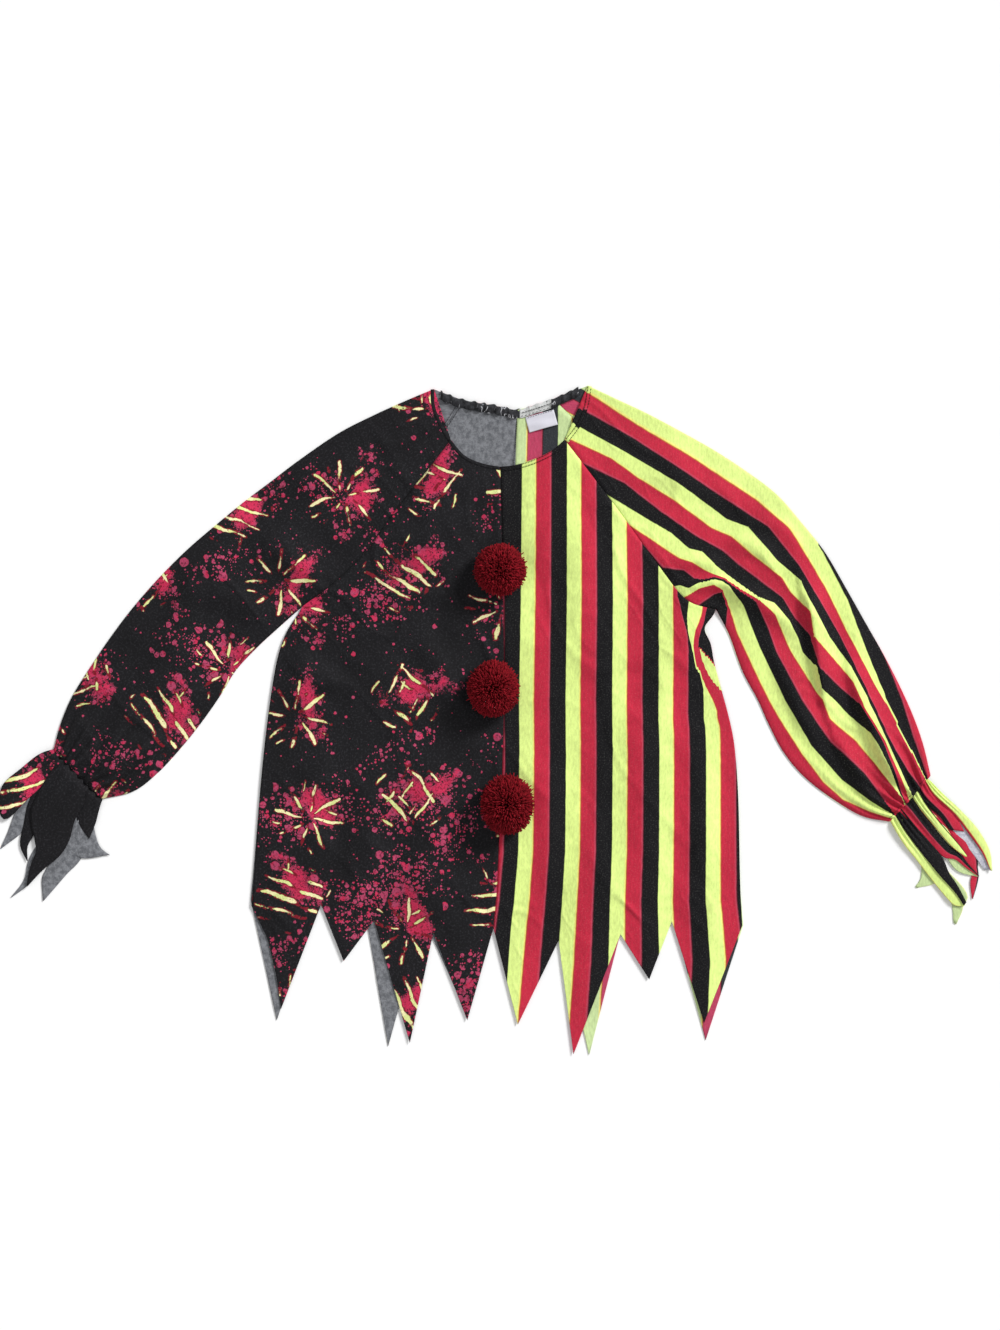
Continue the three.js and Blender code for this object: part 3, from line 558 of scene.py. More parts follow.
def cloth_top(xy):
    """Height of the outer face of the upper layer."""
    edge = np.full(xy.shape[:-1], FAR)
    for line in EDGES:
        edge = np.minimum(edge, chain_distance(xy, line)[0])
    folds = np.zeros(xy.shape[:-1])
    for chain, left, right, height in FOLDS:
        away, side, along = chain_distance(xy, chain)
        width = np.where(side > 0, left, right)
        ends = smooth(along, -0.05, 0.3) * smooth(1 - along, -0.05, 0.3)
        folds += FOLD_GAIN * height * (FOLD_ENDS + (1 - FOLD_ENDS) * ends) * bell(away, width)
    waves = [height * value_noise(xy, size, SEED + k) for k, (height, size) in enumerate(WAVES)]
    first = SEED + len(WAVES)
    ridges = [height * creases(xy, size, first + k) for k, (height, size) in enumerate(CREASES)]
    soft = sum(waves) + sum(ridges)
    rise = smooth(edge, 0, EDGE_SOFTNESS)
    soft_share = (EDGE_SHARE + (1 - EDGE_SHARE) * rise) * soft * smooth(edge, -1, 7)
    top = LAYER + WALL - EDGE_SINK + rise * (LOFT + folds) + soft_share
    for number, seam in enumerate(SEAMS):
        away, _, along = chain_distance(xy, seam)
        pucker = 0.3 * np.sin(along * 260 + 3 * np.sin(along * 31 + number)) * bell(away, 6)
        groove = 0.9 * bell(away, 1.5)
        ridge = 0.4 * bell(away - 4.5, 2.4)
        top += pucker - groove + ridge
    for _, x, y, _, _ in POMPOMS:
        away = np.hypot(xy[..., 0] - x, xy[..., 1] - y)
        share = smooth(away, PAD_INNER, PAD_OUTER)
        top = PAD_LEVEL * (1 - share) + top * share
    return top


# Meshes. A part is one sheet of cloth with two faces; a piece is one object of one or more parts.


def make_object(name, vertices, faces, materials, face_material=None, uv=None, attributes=None):
    mesh = bpy.data.meshes.new(name)
    mesh.from_pydata([tuple(v) for v in vertices], [], [tuple(f) for f in faces])
    for m in materials:
        mesh.materials.append(m)
    if face_material is not None:
        mesh.polygons.foreach_set("material_index", np.asarray(face_material, np.int32))
    if uv is not None:
        layer = mesh.uv_layers.new(name="UVMap")
        index = np.empty(len(mesh.loops), np.int32)
        mesh.loops.foreach_get("vertex_index", index)
        layer.data.foreach_set("uv", np.asarray(uv, np.float32)[index].ravel())
    for key, values in (attributes or {}).items():
        mesh.attributes.new(key, "FLOAT", "POINT").data.foreach_set("value", np.asarray(values, np.float32))
    mesh.polygons.foreach_set("use_smooth", np.ones(len(mesh.polygons), bool))
    mesh.update()
    obj = bpy.data.objects.new(name, mesh)
    bpy.context.scene.collection.objects.link(obj)
    return obj


def in_frame(points):
    world = np.asarray(points, float) * MM
    world[..., :2] += SHIFT * MM
    return world


def raised(xy, z):
    """Points x, y with their heights."""
    return np.concatenate([xy, z[..., None]], axis=-1)


def cross_z(grid):
    """Positive where the columns and rows of a grid make faces that look up."""
    dc = np.gradient(grid[..., :2], axis=1)
    dr = np.gradient(grid[..., :2], axis=0)
    return float(np.sum(dc[..., 0] * dr[..., 1] - dc[..., 1] * dr[..., 0]))


def part(grid, uv, stripe=0.0, plain=0.0, face=RIGHT_UP, thickness=CLOTH, sign=None):
    """A thin shell under a grid of points in millimetres; face gives its upper and lower side's materials."""
    rows, columns = grid.shape[:2]
    up = np.sign(cross_z(grid)) if sign is None else sign
    dc = np.gradient(grid, axis=1)
    dr = np.gradient(grid, axis=0)
    normals = np.cross(dc, dr) * up
    normals /= np.maximum(np.linalg.norm(normals, axis=-1, keepdims=True), 1e-9)
    inner = grid - normals * thickness
    inner[..., 2] = np.maximum(inner[..., 2], LOWEST)
    ids = np.arange(rows * columns).reshape(rows, columns)
    a, b, c, d = ids[:-1, :-1], ids[:-1, 1:], ids[1:, 1:], ids[1:, :-1]
    order = (a, b, c, d) if up > 0 else (d, c, b, a)
    outer_faces = np.stack(order, -1).reshape(-1, 4)
    offset = rows * columns
    inner_faces = outer_faces[:, ::-1] + offset
    rim = np.concatenate([ids[0, :], ids[1:, -1], ids[-1, -2::-1], ids[-2::-1, 0]])
    rim_faces = np.stack([rim[:-1], rim[:-1] + offset, rim[1:] + offset, rim[1:]], -1)
    if up < 0:
        rim_faces = rim_faces[:, ::-1]
    shells = (outer_faces, inner_faces, rim_faces)

    def spread(value):
        return np.tile(np.broadcast_to(value, (rows, columns)).ravel(), 2)

    return {
        "vertices": np.concatenate([grid.reshape(-1, 3), inner.reshape(-1, 3)]),
        "faces": np.concatenate(shells),
        "material": np.repeat([face[0], face[1], face[0]], [len(shell) for shell in shells]),
        "uv": np.concatenate([uv.reshape(-1, 2)] * 2) * MM,
        "stripe": spread(stripe),
        "plain": spread(plain),
        "area": surface_area(grid),
    }


def surface_area(grid):
    a, b, c, d = grid[:-1, :-1], grid[:-1, 1:], grid[1:, 1:], grid[1:, :-1]

    def triangles(p, q, r):
        return np.linalg.norm(np.cross(q - p, r - p), axis=-1).sum() / 2

    return float(triangles(a, b, c) + triangles(a, c, d)) * MM * MM


def cloth_piece(name, node, cloth, parts):
    """One piece of cloth made of parts; cloth is its slot, which is not used, and its materials."""
    slot_name, materials = cloth
    counts = [len(p["vertices"]) for p in parts]
    starts = np.cumsum([0] + counts[:-1])
    join = lambda key: np.concatenate([p[key] for p in parts])
    obj = make_object(
        name,
        in_frame(join("vertices")),
        np.concatenate([p["faces"] + start for p, start in zip(parts, starts)]),
        materials,
        join("material"),
        join("uv"),
        {"stripe": join("stripe"), "plain": join("plain")},
    )
    place(obj, node)


def place(obj, node):
    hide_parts(node)
    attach(obj, "root")


# Stripes of the body.


def body_stripe(xy):
    """Number of repeats from the first lime stripe's left edge."""
    ys, starts, widths = zip(*sorted(BODY_STRIPES))
    return (xy[..., 0] - np.interp(xy[..., 1], ys, starts)) / np.interp(xy[..., 1], ys, widths)


def front_stripe(xy):
    """The front's stripes: gathered beside the underarm, and black up to the centre seam near the neck."""
    x, y = xy[..., 0], xy[..., 1]
    reach = np.interp(y, *zip(*CENTRE_RED))
    plain = body_stripe(xy) - reach * smooth(CENTRE_LIMIT - x, 0, 6) / REPEAT
    ys, table = zip(*SIDE_STRIPES)
    lines = [np.interp(y, ys, column) for column in zip(*table)]
    count = np.full(x.shape, SIDE_COUNT)
    for near, far in zip(lines[:-1], lines[1:]):
        count += np.clip((x - near) / np.maximum(far - near, 0.2), 0, 1) / 3
    beyond = x - lines[-1]
    black = y > FOLDED_BLACK[1] - (x - FOLDED_BLACK[0]) * FOLDED_BLACK[2]
    folded = np.where(black, np.minimum(beyond / 8, 0.16), -np.minimum(beyond / 3, 0.5))
    count += np.where(beyond > 0, folded, 0)
    gathered = smooth(y, -10, 4) * (x > lines[0])
    field = plain * (1 - gathered) + count * gathered
    return np.where((y > CENTRE_BLACK) & (field < BLACK_COUNT), BLACK_COUNT, field)


def back_stripe(xy):
    return body_stripe(xy) + np.interp(xy[..., 1], [-290, 330], [0.42, 0.2])


# Body panels.


def hem_line(body, extra, place_at):
    """Cut edge of a panel: the corners of its table and extra points between them."""
    stops = [(k, row[4], row[5]) for k, row in enumerate(body)] + list(extra)
    table = np.asarray(sorted(stops), float)
    return np.stack([np.interp(place_at, table[:, 0], table[:, k]) for k in (1, 2)], axis=1)


def panel_xy(neck, seam, body, extra, split, bands):
    """Points of a body panel: rows from the neck and raglan seam to the cut edge, columns centre to side."""
    sections = len(seam) - 1
    shoulder = spline(seam, np.linspace(0, sections, sections * split + 1))
    top = np.concatenate([resampled(neck, 2 * split + 1)[:-1], shoulder])
    at = np.arange(len(top)) / split
    table = np.asarray(body, float)
    value = lambda k: np.interp(at, np.arange(len(table)), table[:, k])
    level = lambda y: np.full(len(top), y)
    chest = np.stack([value(0), level(CHEST_Y)], 1)
    waist = np.stack([value(1), level(WAIST_Y)], 1)
    base = np.stack([value(2), value(3)], 1)
    hem = hem_line(body, extra, at)
    stops = [top, chest, waist, base, hem]
    gaps = [np.linalg.norm(q - p, axis=1).mean() for p, q in zip(stops[:-1], stops[1:])]
    rows = []
    for band, steps in enumerate(bands):
        p, q = stops[band], stops[band + 1]
        leave = arrive = (q - p) / 3
        if band in (1, 2):
            leave = (q - stops[band - 1]) * gaps[band] / (gaps[band - 1] + gaps[band]) / 3
        if band in (0, 1):
            arrive = (stops[band + 2] - p) * gaps[band] / (gaps[band] + gaps[band + 1]) / 3
        for step in range(steps):
            t = step / steps
            bend = 3 * (1 - t) ** 2 * t * (p + leave) + 3 * (1 - t) * t**2 * (q - arrive)
            rows.append((1 - t) ** 3 * p + bend + t**3 * q)
    rows.append(hem)
    return np.stack(rows)


def tucked(xy):
    """The striped side is drawn in a little below the underarm."""
    inwards = UNDERARM_TUCK * bell(xy[..., 1] - 106, 13) * smooth(xy[..., 0], 205, 250)
    return np.stack([xy[..., 0] - inwards, xy[..., 1]], axis=-1)


def front_panel(half, cloth, field, neck, seam, body, extra=()):
    """The upper layer of one half of the body; field gives its stripe count, None where it has no stripes."""
    xy = tucked(panel_xy(neck, seam, body, extra, SPLIT, FRONT_BANDS))
    sheet = part(raised(xy, cloth_top(xy)), xy, field(xy) if field else 0.0)
    name, node = "Panel_front_" + half, "front_" + half
    cloth_piece(name, node, cloth, [sheet])


def neck_ripple(xy):
    """Gathers that run down from the elastic of the back neck."""
    away, _, along = chain_distance(xy, CASING_EDGE)
    ripple = 0.5 + 0.5 * np.cos(2 * math.pi * 12.3 * along + 2 * np.sin(9 * along))
    return 2.4 * bell(away, 19.0) * ripple**1.3


def back_panel(half, cloth, field, neck, seam, body):
    """The back shows its wrong side upwards, and its right side is on the floor."""
    xy = tucked(panel_xy(neck, seam, body, (), BACK_SPLIT, BACK_BANDS))
    first = SEED + len(WAVES) + len(CREASES)
    wave = 0.3 * value_noise(xy, 24, first) * smooth(chain_distance(xy, CASING_EDGE)[0], 5, 30)
    grid = raised(xy, FLOOR_GAP + CLOTH + 0.3 + neck_ripple(xy) + wave)
    sheet = part(grid, xy + np.array([310.0, 40.0]), field(xy) if field else 0.0, 0.0, WRONG_UP)
    cloth_piece("Panel_back_" + half, "back_" + half, cloth, [sheet])


# Sleeves.


def sleeve_stripe(xy):
    """Stripe count on the striped sleeve's upper layer, shared out between the lines."""
    inner = []
    for third in sorted(STRIPE_LINES):
        away, side, _ = chain_distance(xy, STRIPE_LINES[third])
        inner.append(np.where(side < 0, away, -away))
    count = np.full(xy.shape[:-1], min(STRIPE_LINES) / 3) + np.minimum(inner[0], 0) / REPEAT
    for near, far in zip(inner[:-1], inner[1:]):
        past, ahead = np.clip(near, 0, WIDEST), np.clip(-far, 0, WIDEST)
        share = past / np.maximum(past + ahead, 0.01)
        count += np.where(far >= 0, 1.0, share) / 3
    return count + np.maximum(inner[-1], 0) / REPEAT


def wrist_ridges(u, sign):
    phase = 2 * math.pi * WRIST_FOLDS * u + 1.6 * np.sin(5.1 * u + 0.7 * sign) + 0.6 * np.sin(17 * u)
    return (0.5 + 0.5 * np.cos(phase)) ** 1.2


def sleeve_arm(sign, seams, fold, under):
    """The sleeve as one sheet: upper layer, folded shoulder edge, lower layer; and its upper outline."""
    sections = len(fold) - 1
    t = np.linspace(0, sections, sections * SPLIT + 1)
    knee = len(seams[0]) - 1
    outer = spline(fold, t)
    u = np.linspace(0, 1, ACROSS + 1)
    u_low = np.linspace(0, 1, ACROSS // 2 + 1)

    def layer(seam, columns):
        inner = np.where((t <= knee)[:, None], spline(seam, t), spline(under, t - knee))
        return inner[:, None] * (1 - columns[None, :, None]) + outer[:, None] * columns[None, :, None]

    upper, lower = layer(seams[0], u), layer(seams[1], u_low)
    near_wrist = smooth(t, sections - 3.4, sections)[:, None] ** 1.3
    near_fold = smooth(1 - u, 0.0, 0.09)[None, :]
    near_under = smooth(u, 0.0, 0.07)[None, :]
    ridge = wrist_ridges(u, sign)[None, :]
    top = cloth_top(upper) + WRIST_HEIGHT * near_wrist * ridge * near_fold * near_under
    pinch = bell(t - sections, 0.12)[:, None]
    top = top * (1 - PINCH_SHARE * pinch) + PINCH_LEVEL * PINCH_SHARE * pinch
    open_side = smooth(t, 5.8, 7.0)[:, None]
    top -= UNDERARM_DROP * (1 - smooth(u, 0.0, 0.035))[None, :] * open_side
    outward = upper[:, -1] - upper[:, -2]
    outward /= np.linalg.norm(outward, axis=1, keepdims=True)
    high = top[:, -1]
    turn = []
    for angle in np.radians(FOLD_DEGREES):
        edge = upper[:, -1] + outward * FOLD_RADIUS * (math.cos(angle) - 0.5)
        turn.append(raised(edge, (high + FLOOR_GAP) / 2 + (high - FLOOR_GAP) / 2 * math.sin(angle)))
    floor = raised(lower, np.full(lower.shape[:2], FLOOR_GAP))
    grid = np.concatenate([raised(upper, top)[:, :-1], np.stack(turn, axis=1), floor[:, ::-1][:, 1:]], axis=1)
    edge = upper[:, -1:]
    folded = np.repeat(edge, len(FOLD_DEGREES), axis=1)
    uv = np.concatenate([upper[:, :-1], folded, 2 * edge - lower[:, ::-1][:, 1:]], axis=1)
    return grid, uv, upper


def sleeve_stripes(grid, upper):
    """Stripe count all round the striped sleeve; the lower layer's goes on from the fold, evened out."""
    up = sleeve_stripe(upper)
    across = np.linspace(0, 1, grid.shape[1] - ACROSS)
    reach = np.linalg.norm(grid[:, -1, :2] - upper[:, -1], axis=1)[:, None] / REPEAT
    low = np.minimum(up[:, -1:], 0.22) - across[None, :] * reach
    padded = np.pad(low, ((EVEN_ROWS, EVEN_ROWS), (0, 0)), mode="edge")
    span = 2 * EVEN_ROWS + 1
    even = sum(padded[k : k + len(low)] for k in range(span)) / span
    away = smooth(across, 0.0, 0.35)[None, :]
    return np.concatenate([up[:, :-1], low * (1 - away) + even * away], axis=1)


def turned_print(uv):
    """The printed sleeve's cloth is cut at an angle to the body's."""
    x, y = uv[..., 0], uv[..., 1]
    c, s = math.cos(math.radians(38)), math.sin(math.radians(38))
    return np.stack([x * c - y * s, x * s + y * c], axis=-1) + np.array([64.0, 31.0])


def petal(number, left, right, level, root, crown, stripes, plain, face, sign, wrist):
    """One hanging point of a ruffle between its left and right cut edges, tucked under the elastic."""
    start, along, inward, span = wrist

    def rooted(edge):
        place_along = np.clip((np.asarray(edge[0], float) - start) @ along, 4.0, span - 4.0)
        hanging = [p for p in edge if (np.asarray(p) - start) @ inward < 0.0]
        return resampled([tuple(start + along * place_along + inward * 9.0)] + hanging, PETAL_ROWS + 1)

    a, b = rooted(left), rooted(right)
    u = np.linspace(0, 1, PETAL_COLUMNS + 1)
    v = np.linspace(0, 1, PETAL_ROWS + 1)[:, None]
    xy = a[:, None] * (1 - u[None, :, None]) + b[:, None] * u[None, :, None]
    out = -((xy - start) @ inward)
    fall = smooth(v, 0.1, 0.6)
    pleats = np.cos(2 * math.pi * (2.6 * u[None, :] + 0.17 * number)) * (1 - fall)
    arch = crown * np.sin(math.pi * u)[None, :] * (1 - 0.75 * v)
    free = root * (1 - fall) + level * fall + arch + 1.3 * pleats
    emerge = smooth(out, -3.0, 6.0)
    z = 1.6 * (1 - emerge) + free * emerge + 0.35 * value_noise(xy, 11, SEED + number) * emerge
    grid = raised(xy, np.maximum(z, 1.0))
    across = stripes[0] * (1 - u) + stripes[1] * u
    if np.sign(cross_z(grid)) != sign:
        grid, across, xy = grid[:, ::-1], across[::-1], xy[:, ::-1]
    return part(grid, xy + np.array([37.0 * number, 120.0]), across[None, :], plain, face)


def sleeve(half, cloth, striped, sign, seams, fold, under, petals):
    """A sleeve with its ruffle; sign is 1 for the printed one, -1 for the striped one on the other side."""
    grid, uv, upper = sleeve_arm(sign, seams, fold, under)
    if striped:
        parts = [part(grid, uv, sleeve_stripes(grid, upper), sign=sign)]
    else:
        parts = [part(grid, turned_print(uv), sign=sign)]
    start = np.asarray(under[-1], float)
    along = np.asarray(fold[-1], float) - start
    span = float(np.linalg.norm(along))
    along /= span
    wrist = (start, along, np.array([along[1], -along[0]]) * sign, span)
    parts += [petal(number, *row, sign, wrist) for number, row in enumerate(petals)]
    cloth_piece("Sleeve_" + half, "sleeve_" + half, cloth, parts)
    return grid


# Materials.


class Nodes:
    """Short names for building a node tree."""

    def __init__(self, tree):
        self.tree = tree

    def add(self, kind, **values):
        node = self.tree.nodes.new(kind)
        for key, value in values.items():
            setattr(node, key, value)
        return node

    def put(self, socket, value):
        if isinstance(value, bpy.types.NodeSocket):
            self.tree.links.new(value, socket)
        else:
            socket.default_value = value

    def math(self, operation, a, b=None, c=None, clamp=False):
        node = self.add("ShaderNodeMath", operation=operation, use_clamp=clamp)
        for i, value in enumerate((a, b, c)):
            if value is not None:
                self.put(node.inputs[i], value)
        return node.outputs[0]

    def times(self, a, b):
        return self.math("MULTIPLY", a, b)

    def minus(self, a, b):
        return self.math("SUBTRACT", a, b)

    def times_plus(self, a, b, c):
        return self.math("MULTIPLY_ADD", a, b, c)

    def larger(self, a, b):
        return self.math("MAXIMUM", a, b)

    def vector(self, operation, a, b=None, scale=None):
        node = self.add("ShaderNodeVectorMath", operation=operation)
        self.put(node.inputs[0], a)
        if b is not None:
            self.put(node.inputs[1], b)
        if scale is not None:
            self.put(node.inputs["Scale"], scale)
        return node.outputs["Value" if operation in ("LENGTH", "DOT_PRODUCT") else "Vector"]

    def mix(self, factor, a, b):
        node = self.add("ShaderNodeMix", data_type="RGBA")
        self.put(node.inputs[0], factor)
        self.put(node.inputs[6], a)
        self.put(node.inputs[7], b)
        return node.outputs[2]

    def shade(self, color, factor):
        return self.vector("SCALE", color, scale=factor)

    def noise(self, vector, scale, detail=2.0, rough=0.5, dims="2D"):
        node = self.add("ShaderNodeTexNoise", noise_dimensions=dims)
        self.put(node.inputs["Vector"], vector)
        node.inputs["Scale"].default_value = scale
        node.inputs["Detail"].default_value = detail
        node.inputs["Roughness"].default_value = rough
        return node.outputs

    def cells(self, vector, size, randomness):
        node = self.add("ShaderNodeTexVoronoi", voronoi_dimensions="2D", feature="F1")
        self.put(node.inputs["Vector"], vector)
        node.inputs["Scale"].default_value = 1 / size
        node.inputs["Randomness"].default_value = randomness
        split = self.add("ShaderNodeSeparateColor")
        self.put(split.inputs[0], node.outputs["Color"])
        return node.outputs["Distance"], node.outputs["Position"], split.outputs

    def turn(self, vector, angle):
        node = self.add("ShaderNodeVectorRotate", rotation_type="Z_AXIS")
        self.put(node.inputs["Vector"], vector)
        self.put(node.inputs["Angle"], angle)
        return node.outputs[0]

    def ramp(self, factor, stops):
        node = self.add("ShaderNodeValToRGB")
        elements = node.color_ramp.elements
        while len(elements) > 1:
            elements.remove(elements[-1])
        elements[0].position = stops[0][0]
        elements[0].color = stops[0][1]
        for position, color in stops[1:]:
            elements.new(position).color = color
        self.put(node.inputs[0], factor)
        return node.outputs[0]

    def step(self, value, low, high):
        node = self.add("ShaderNodeMapRange", interpolation_type="SMOOTHSTEP", clamp=True)
        self.put(node.inputs[0], value)
        node.inputs[1].default_value = low
        node.inputs[2].default_value = high
        return node.outputs[0]

    def attribute(self, name):
        return self.add("ShaderNodeAttribute", attribute_name=name).outputs["Fac"]

    def uv(self):
        return self.add("ShaderNodeUVMap", uv_map="UVMap").outputs[0]

    def wave(self, vector, direction, scale, distortion):
        node = self.add("ShaderNodeTexWave", wave_type="BANDS", bands_direction=direction)
        self.put(node.inputs["Vector"], vector)
        node.inputs["Scale"].default_value = scale
        node.inputs["Distortion"].default_value = distortion
        return node.outputs["Fac"]

    def bump(self, shader, height, strength, distance):
        node = self.add("ShaderNodeBump")
        node.inputs["Strength"].default_value = strength
        node.inputs["Distance"].default_value = distance
        self.put(node.inputs["Height"], height)
        self.put(shader.inputs["Normal"], node.outputs[0])


def new_material(name):
    material = bpy.data.materials.new(name)
    material.use_nodes = True
    tree = material.node_tree
    tree.nodes.clear()
    n = Nodes(tree)
    out = n.add("ShaderNodeOutputMaterial")
    shader = n.add("ShaderNodeBsdfPrincipled")
    tree.links.new(shader.outputs[0], out.inputs[0])
    return material, n, shader


def knit(n, shader, uv, strength):
    """Fine jersey: columns of small loops and a slightly uneven face."""
    wale = n.wave(uv, "X", 220.0, 1.5)
    course = n.wave(uv, "Y", 280.0, 1.2)
    grain = n.noise(uv, 640.0, 3.0, 0.6)[0]
    loops = n.times_plus(course, 0.35, n.times(wale, 0.5))
    n.bump(shader, n.times_plus(grain, 0.6, loops), strength, 0.0006)
    return grain


def finish_cloth(n, shader, color, roughness, sheen, specular=0.18):
    n.put(shader.inputs["Base Color"], color)
    shader.inputs["Roughness"].default_value = roughness
    shader.inputs["Sheen Weight"].default_value = sheen
    shader.inputs["Sheen Roughness"].default_value = 0.5
    shader.inputs["Specular IOR Level"].default_value = specular


def striped_material(name, pale):
    material, n, shader = new_material(name)
    uv = n.uv()
    wobble = n.noise(uv, 70.0, 3.0)[0]
    edge = n.times_plus(n.minus(wobble, 0.5), 0.016, n.attribute("stripe"))
    phase = n.math("FRACT", edge)
    third = 1 / 3
    lime, red, black = (PALE_LIME, PALE_RED, PALE_BLACK) if pale else (LIME, RED, BLACK)
    stops = [
        (0.0, (0.10, 0.15, 0.03, 1)),
        (0.016, lime),
        (third - 0.050, lime),
        (third - 0.022, LIME_EDGE),
        (third - 0.006, (0.42, 0.13, 0.025, 1)),
        (third + 0.010, red),
        (2 * third - 0.055, red),
        (2 * third - 0.022, RED_EDGE),
        (2 * third + 0.002, (0.05, 0.006, 0.012, 1)),
        (2 * third + 0.018, black),
        (0.992, black),
    ]
    color = n.ramp(phase, stops)
    grain = knit(n, shader, uv, 0.4)
    # Broad light and dark patches along the stripes, partly uneven dye and partly painted shade of soft
    # folds, with finer mottling of the knit on top.
    tone = n.noise(n.vector("MULTIPLY", uv, (1.0, 0.4, 0.0)), 17.0, 4.0, 0.5)[0]
    fine = n.noise(n.vector("MULTIPLY", uv, (1.0, 0.35, 0.0)), 400.0, 3.0, 0.65)[0]
    factor = n.times_plus(tone, 0.50, 0.75)
    factor = n.times_plus(n.minus(fine, 0.5), 0.55, factor)
    color = n.shade(color, factor)
    color = n.mix(n.times(n.step(grain, 0.52, 0.80), 0.06), color, (0.72, 0.74, 0.66, 1))
    finish_cloth(n, shader, color, 0.74, 0.02, 0.12)
    return material


def strokes(n, point, table):
    """How far inside the nearest brush stroke: from x, y to x, y in millimetres, half width."""
    best = None
    for x0, y0, x1, y1, half in table:
        a = (x0 * FIGURE_SIZE * MM, y0 * FIGURE_SIZE * MM, 0)
        d = ((x1 - x0) * FIGURE_SIZE * MM, (y1 - y0) * FIGURE_SIZE * MM, 0)
        rel = n.vector("SUBTRACT", point, a)
        share = n.math("DIVIDE", n.vector("DOT_PRODUCT", rel, d), d[0] ** 2 + d[1] ** 2, clamp=True)
        away = n.vector("LENGTH", n.vector("SUBTRACT", rel, n.vector("SCALE", d, scale=share)))
        belly = n.times(share, n.minus(1.25, share))
        wide = half * STROKE_WIDTH * MM
        inside = n.minus(n.times_plus(belly, wide * 2.1, wide * 0.35), away)
        best = inside if best is None else n.larger(best, inside)
    return best


def splatter_level(n, where):
    """How much paint lies at a place, from 0: a ragged cloud beside each figure, and sprays all over."""
    _, centre, own = n.cells(where, CELL, CELL_RANDOM)
    rel = n.vector("SUBTRACT", n.vector("SUBTRACT", where, centre), CLOUD_SHIFT)
    rel = n.turn(rel, n.times(own[2], 6.0))
    oval = n.vector("LENGTH", n.vector("MULTIPLY", rel, (0.9, 2.3, 0.0)))
    ragged = n.minus(n.noise(where, 36.0, 3.0, 0.6)[0], 0.5)
    cloud = n.times_plus(ragged, 1.9, n.minus(1.0, n.math("DIVIDE", oval, CLOUD_SIZE)))
    _, centre, own = n.cells(n.vector("ADD", where, SPRAY_SHIFT), SPRAY_CELL, SPRAY_RANDOM)
    rel = n.vector("SUBTRACT", n.vector("ADD", where, SPRAY_SHIFT), centre)
    rel = n.turn(rel, n.times_plus(own[0], 0.9, 0.5))
    oval = n.vector("LENGTH", n.vector("MULTIPLY", rel, (2.6, 1.0, 0.0)))
    spray = n.minus(n.times_plus(own[1], 0.66, 0.38), n.math("DIVIDE", oval, SPRAY_SIZE))
    spray = n.times_plus(ragged, 1.5, spray)
    return n.larger(n.larger(cloud, spray), 0.0), cloud


def printed_color(n, uv):
    """Black with crimson splatter and pale brushed figures, each in its own place and turn."""
    warp = n.vector("SUBTRACT", n.noise(uv, 240.0, 2.0)[1], (0.5, 0.5, 0.5))
    ripple = n.vector("SCALE", warp, scale=0.0016)
    sway = n.vector("SUBTRACT", n.noise(uv, 26.0, 1.0)[1], (0.5, 0.5, 0.5))
    brushed = n.vector("ADD", n.vector("ADD", uv, ripple), n.vector("SCALE", sway, scale=0.012))
    wavy = n.vector("ADD", uv, ripple)
    covered = n.minus(1.0, n.attribute("plain"))
    _, cloud = splatter_level(n, uv)
    mask = None
    for size, base, gain, most in DROPS:
        distance, centre, own = n.cells(wavy, size, 1.0)
        chance = n.times_plus(splatter_level(n, centre)[0], gain, base)
        there = n.math("LESS_THAN", own[0], n.times(chance, covered))
        radius = n.times_plus(own[1], most * 0.65, most * 0.35)
        drop = n.times(n.step(n.minus(radius, distance), -0.02, 0.04), there)
        mask = drop if mask is None else n.larger(mask, drop)
    speckle = n.noise(uv, 300.0, 3.0, 0.65)[0]
    solid = n.step(n.times_plus(speckle, 1.6, cloud), 1.22, 1.40)
    solid = n.times(solid, covered)
    tint = n.noise(uv, 90.0, 3.0, 0.7)[0]
    core = n.larger(n.step(tint, 0.50, 0.62), n.step(cloud, 0.35, 0.75))
    paint = n.mix(core, PINK, CRIMSON)
    paint = n.mix(n.times(n.step(speckle, 0.54, 0.62), 0.7), paint, (0.07, 0.005, 0.014, 1))
    color = n.mix(n.larger(mask, solid), BLACK, paint)

    _, centre, own = n.cells(uv, CELL, CELL_RANDOM)
    rel = n.vector("SUBTRACT", brushed, centre)
    point = n.turn(rel, n.times(n.minus(own[0], 0.5), 3.2))
    figures = [strokes(n, point, table) for table in FIGURES]
    chosen = n.times(own[1], 3.0)
    inside = figures[0]
    for figure, low in zip(figures[1:], (1.0, 2.0)):
        pick = n.add("ShaderNodeMix", data_type="FLOAT")
        n.put(pick.inputs[0], n.math("GREATER_THAN", chosen, low))
        n.put(pick.inputs[2], inside)
        n.put(pick.inputs[3], figure)
        inside = pick.outputs[0]
    torn = n.noise(uv, 200.0, 2.0)[0]
    halo = n.times(n.step(inside, -0.0015, -0.0009), n.step(torn, 0.42, 0.50))
    color = n.mix(n.times(halo, covered), color, STROKE_SHADOW)
    worn = n.step(n.noise(uv, 280.0, 3.0, 0.6)[0], 0.27, 0.36)
    bright = n.times(n.step(inside, -0.0003, 0.0003), worn)
    ink = n.mix(n.step(n.noise(uv, 55.0, 1.0)[0], 0.45, 0.60), STROKE, STROKE_GREEN)
    return n.mix(n.times(bright, covered), color, ink)


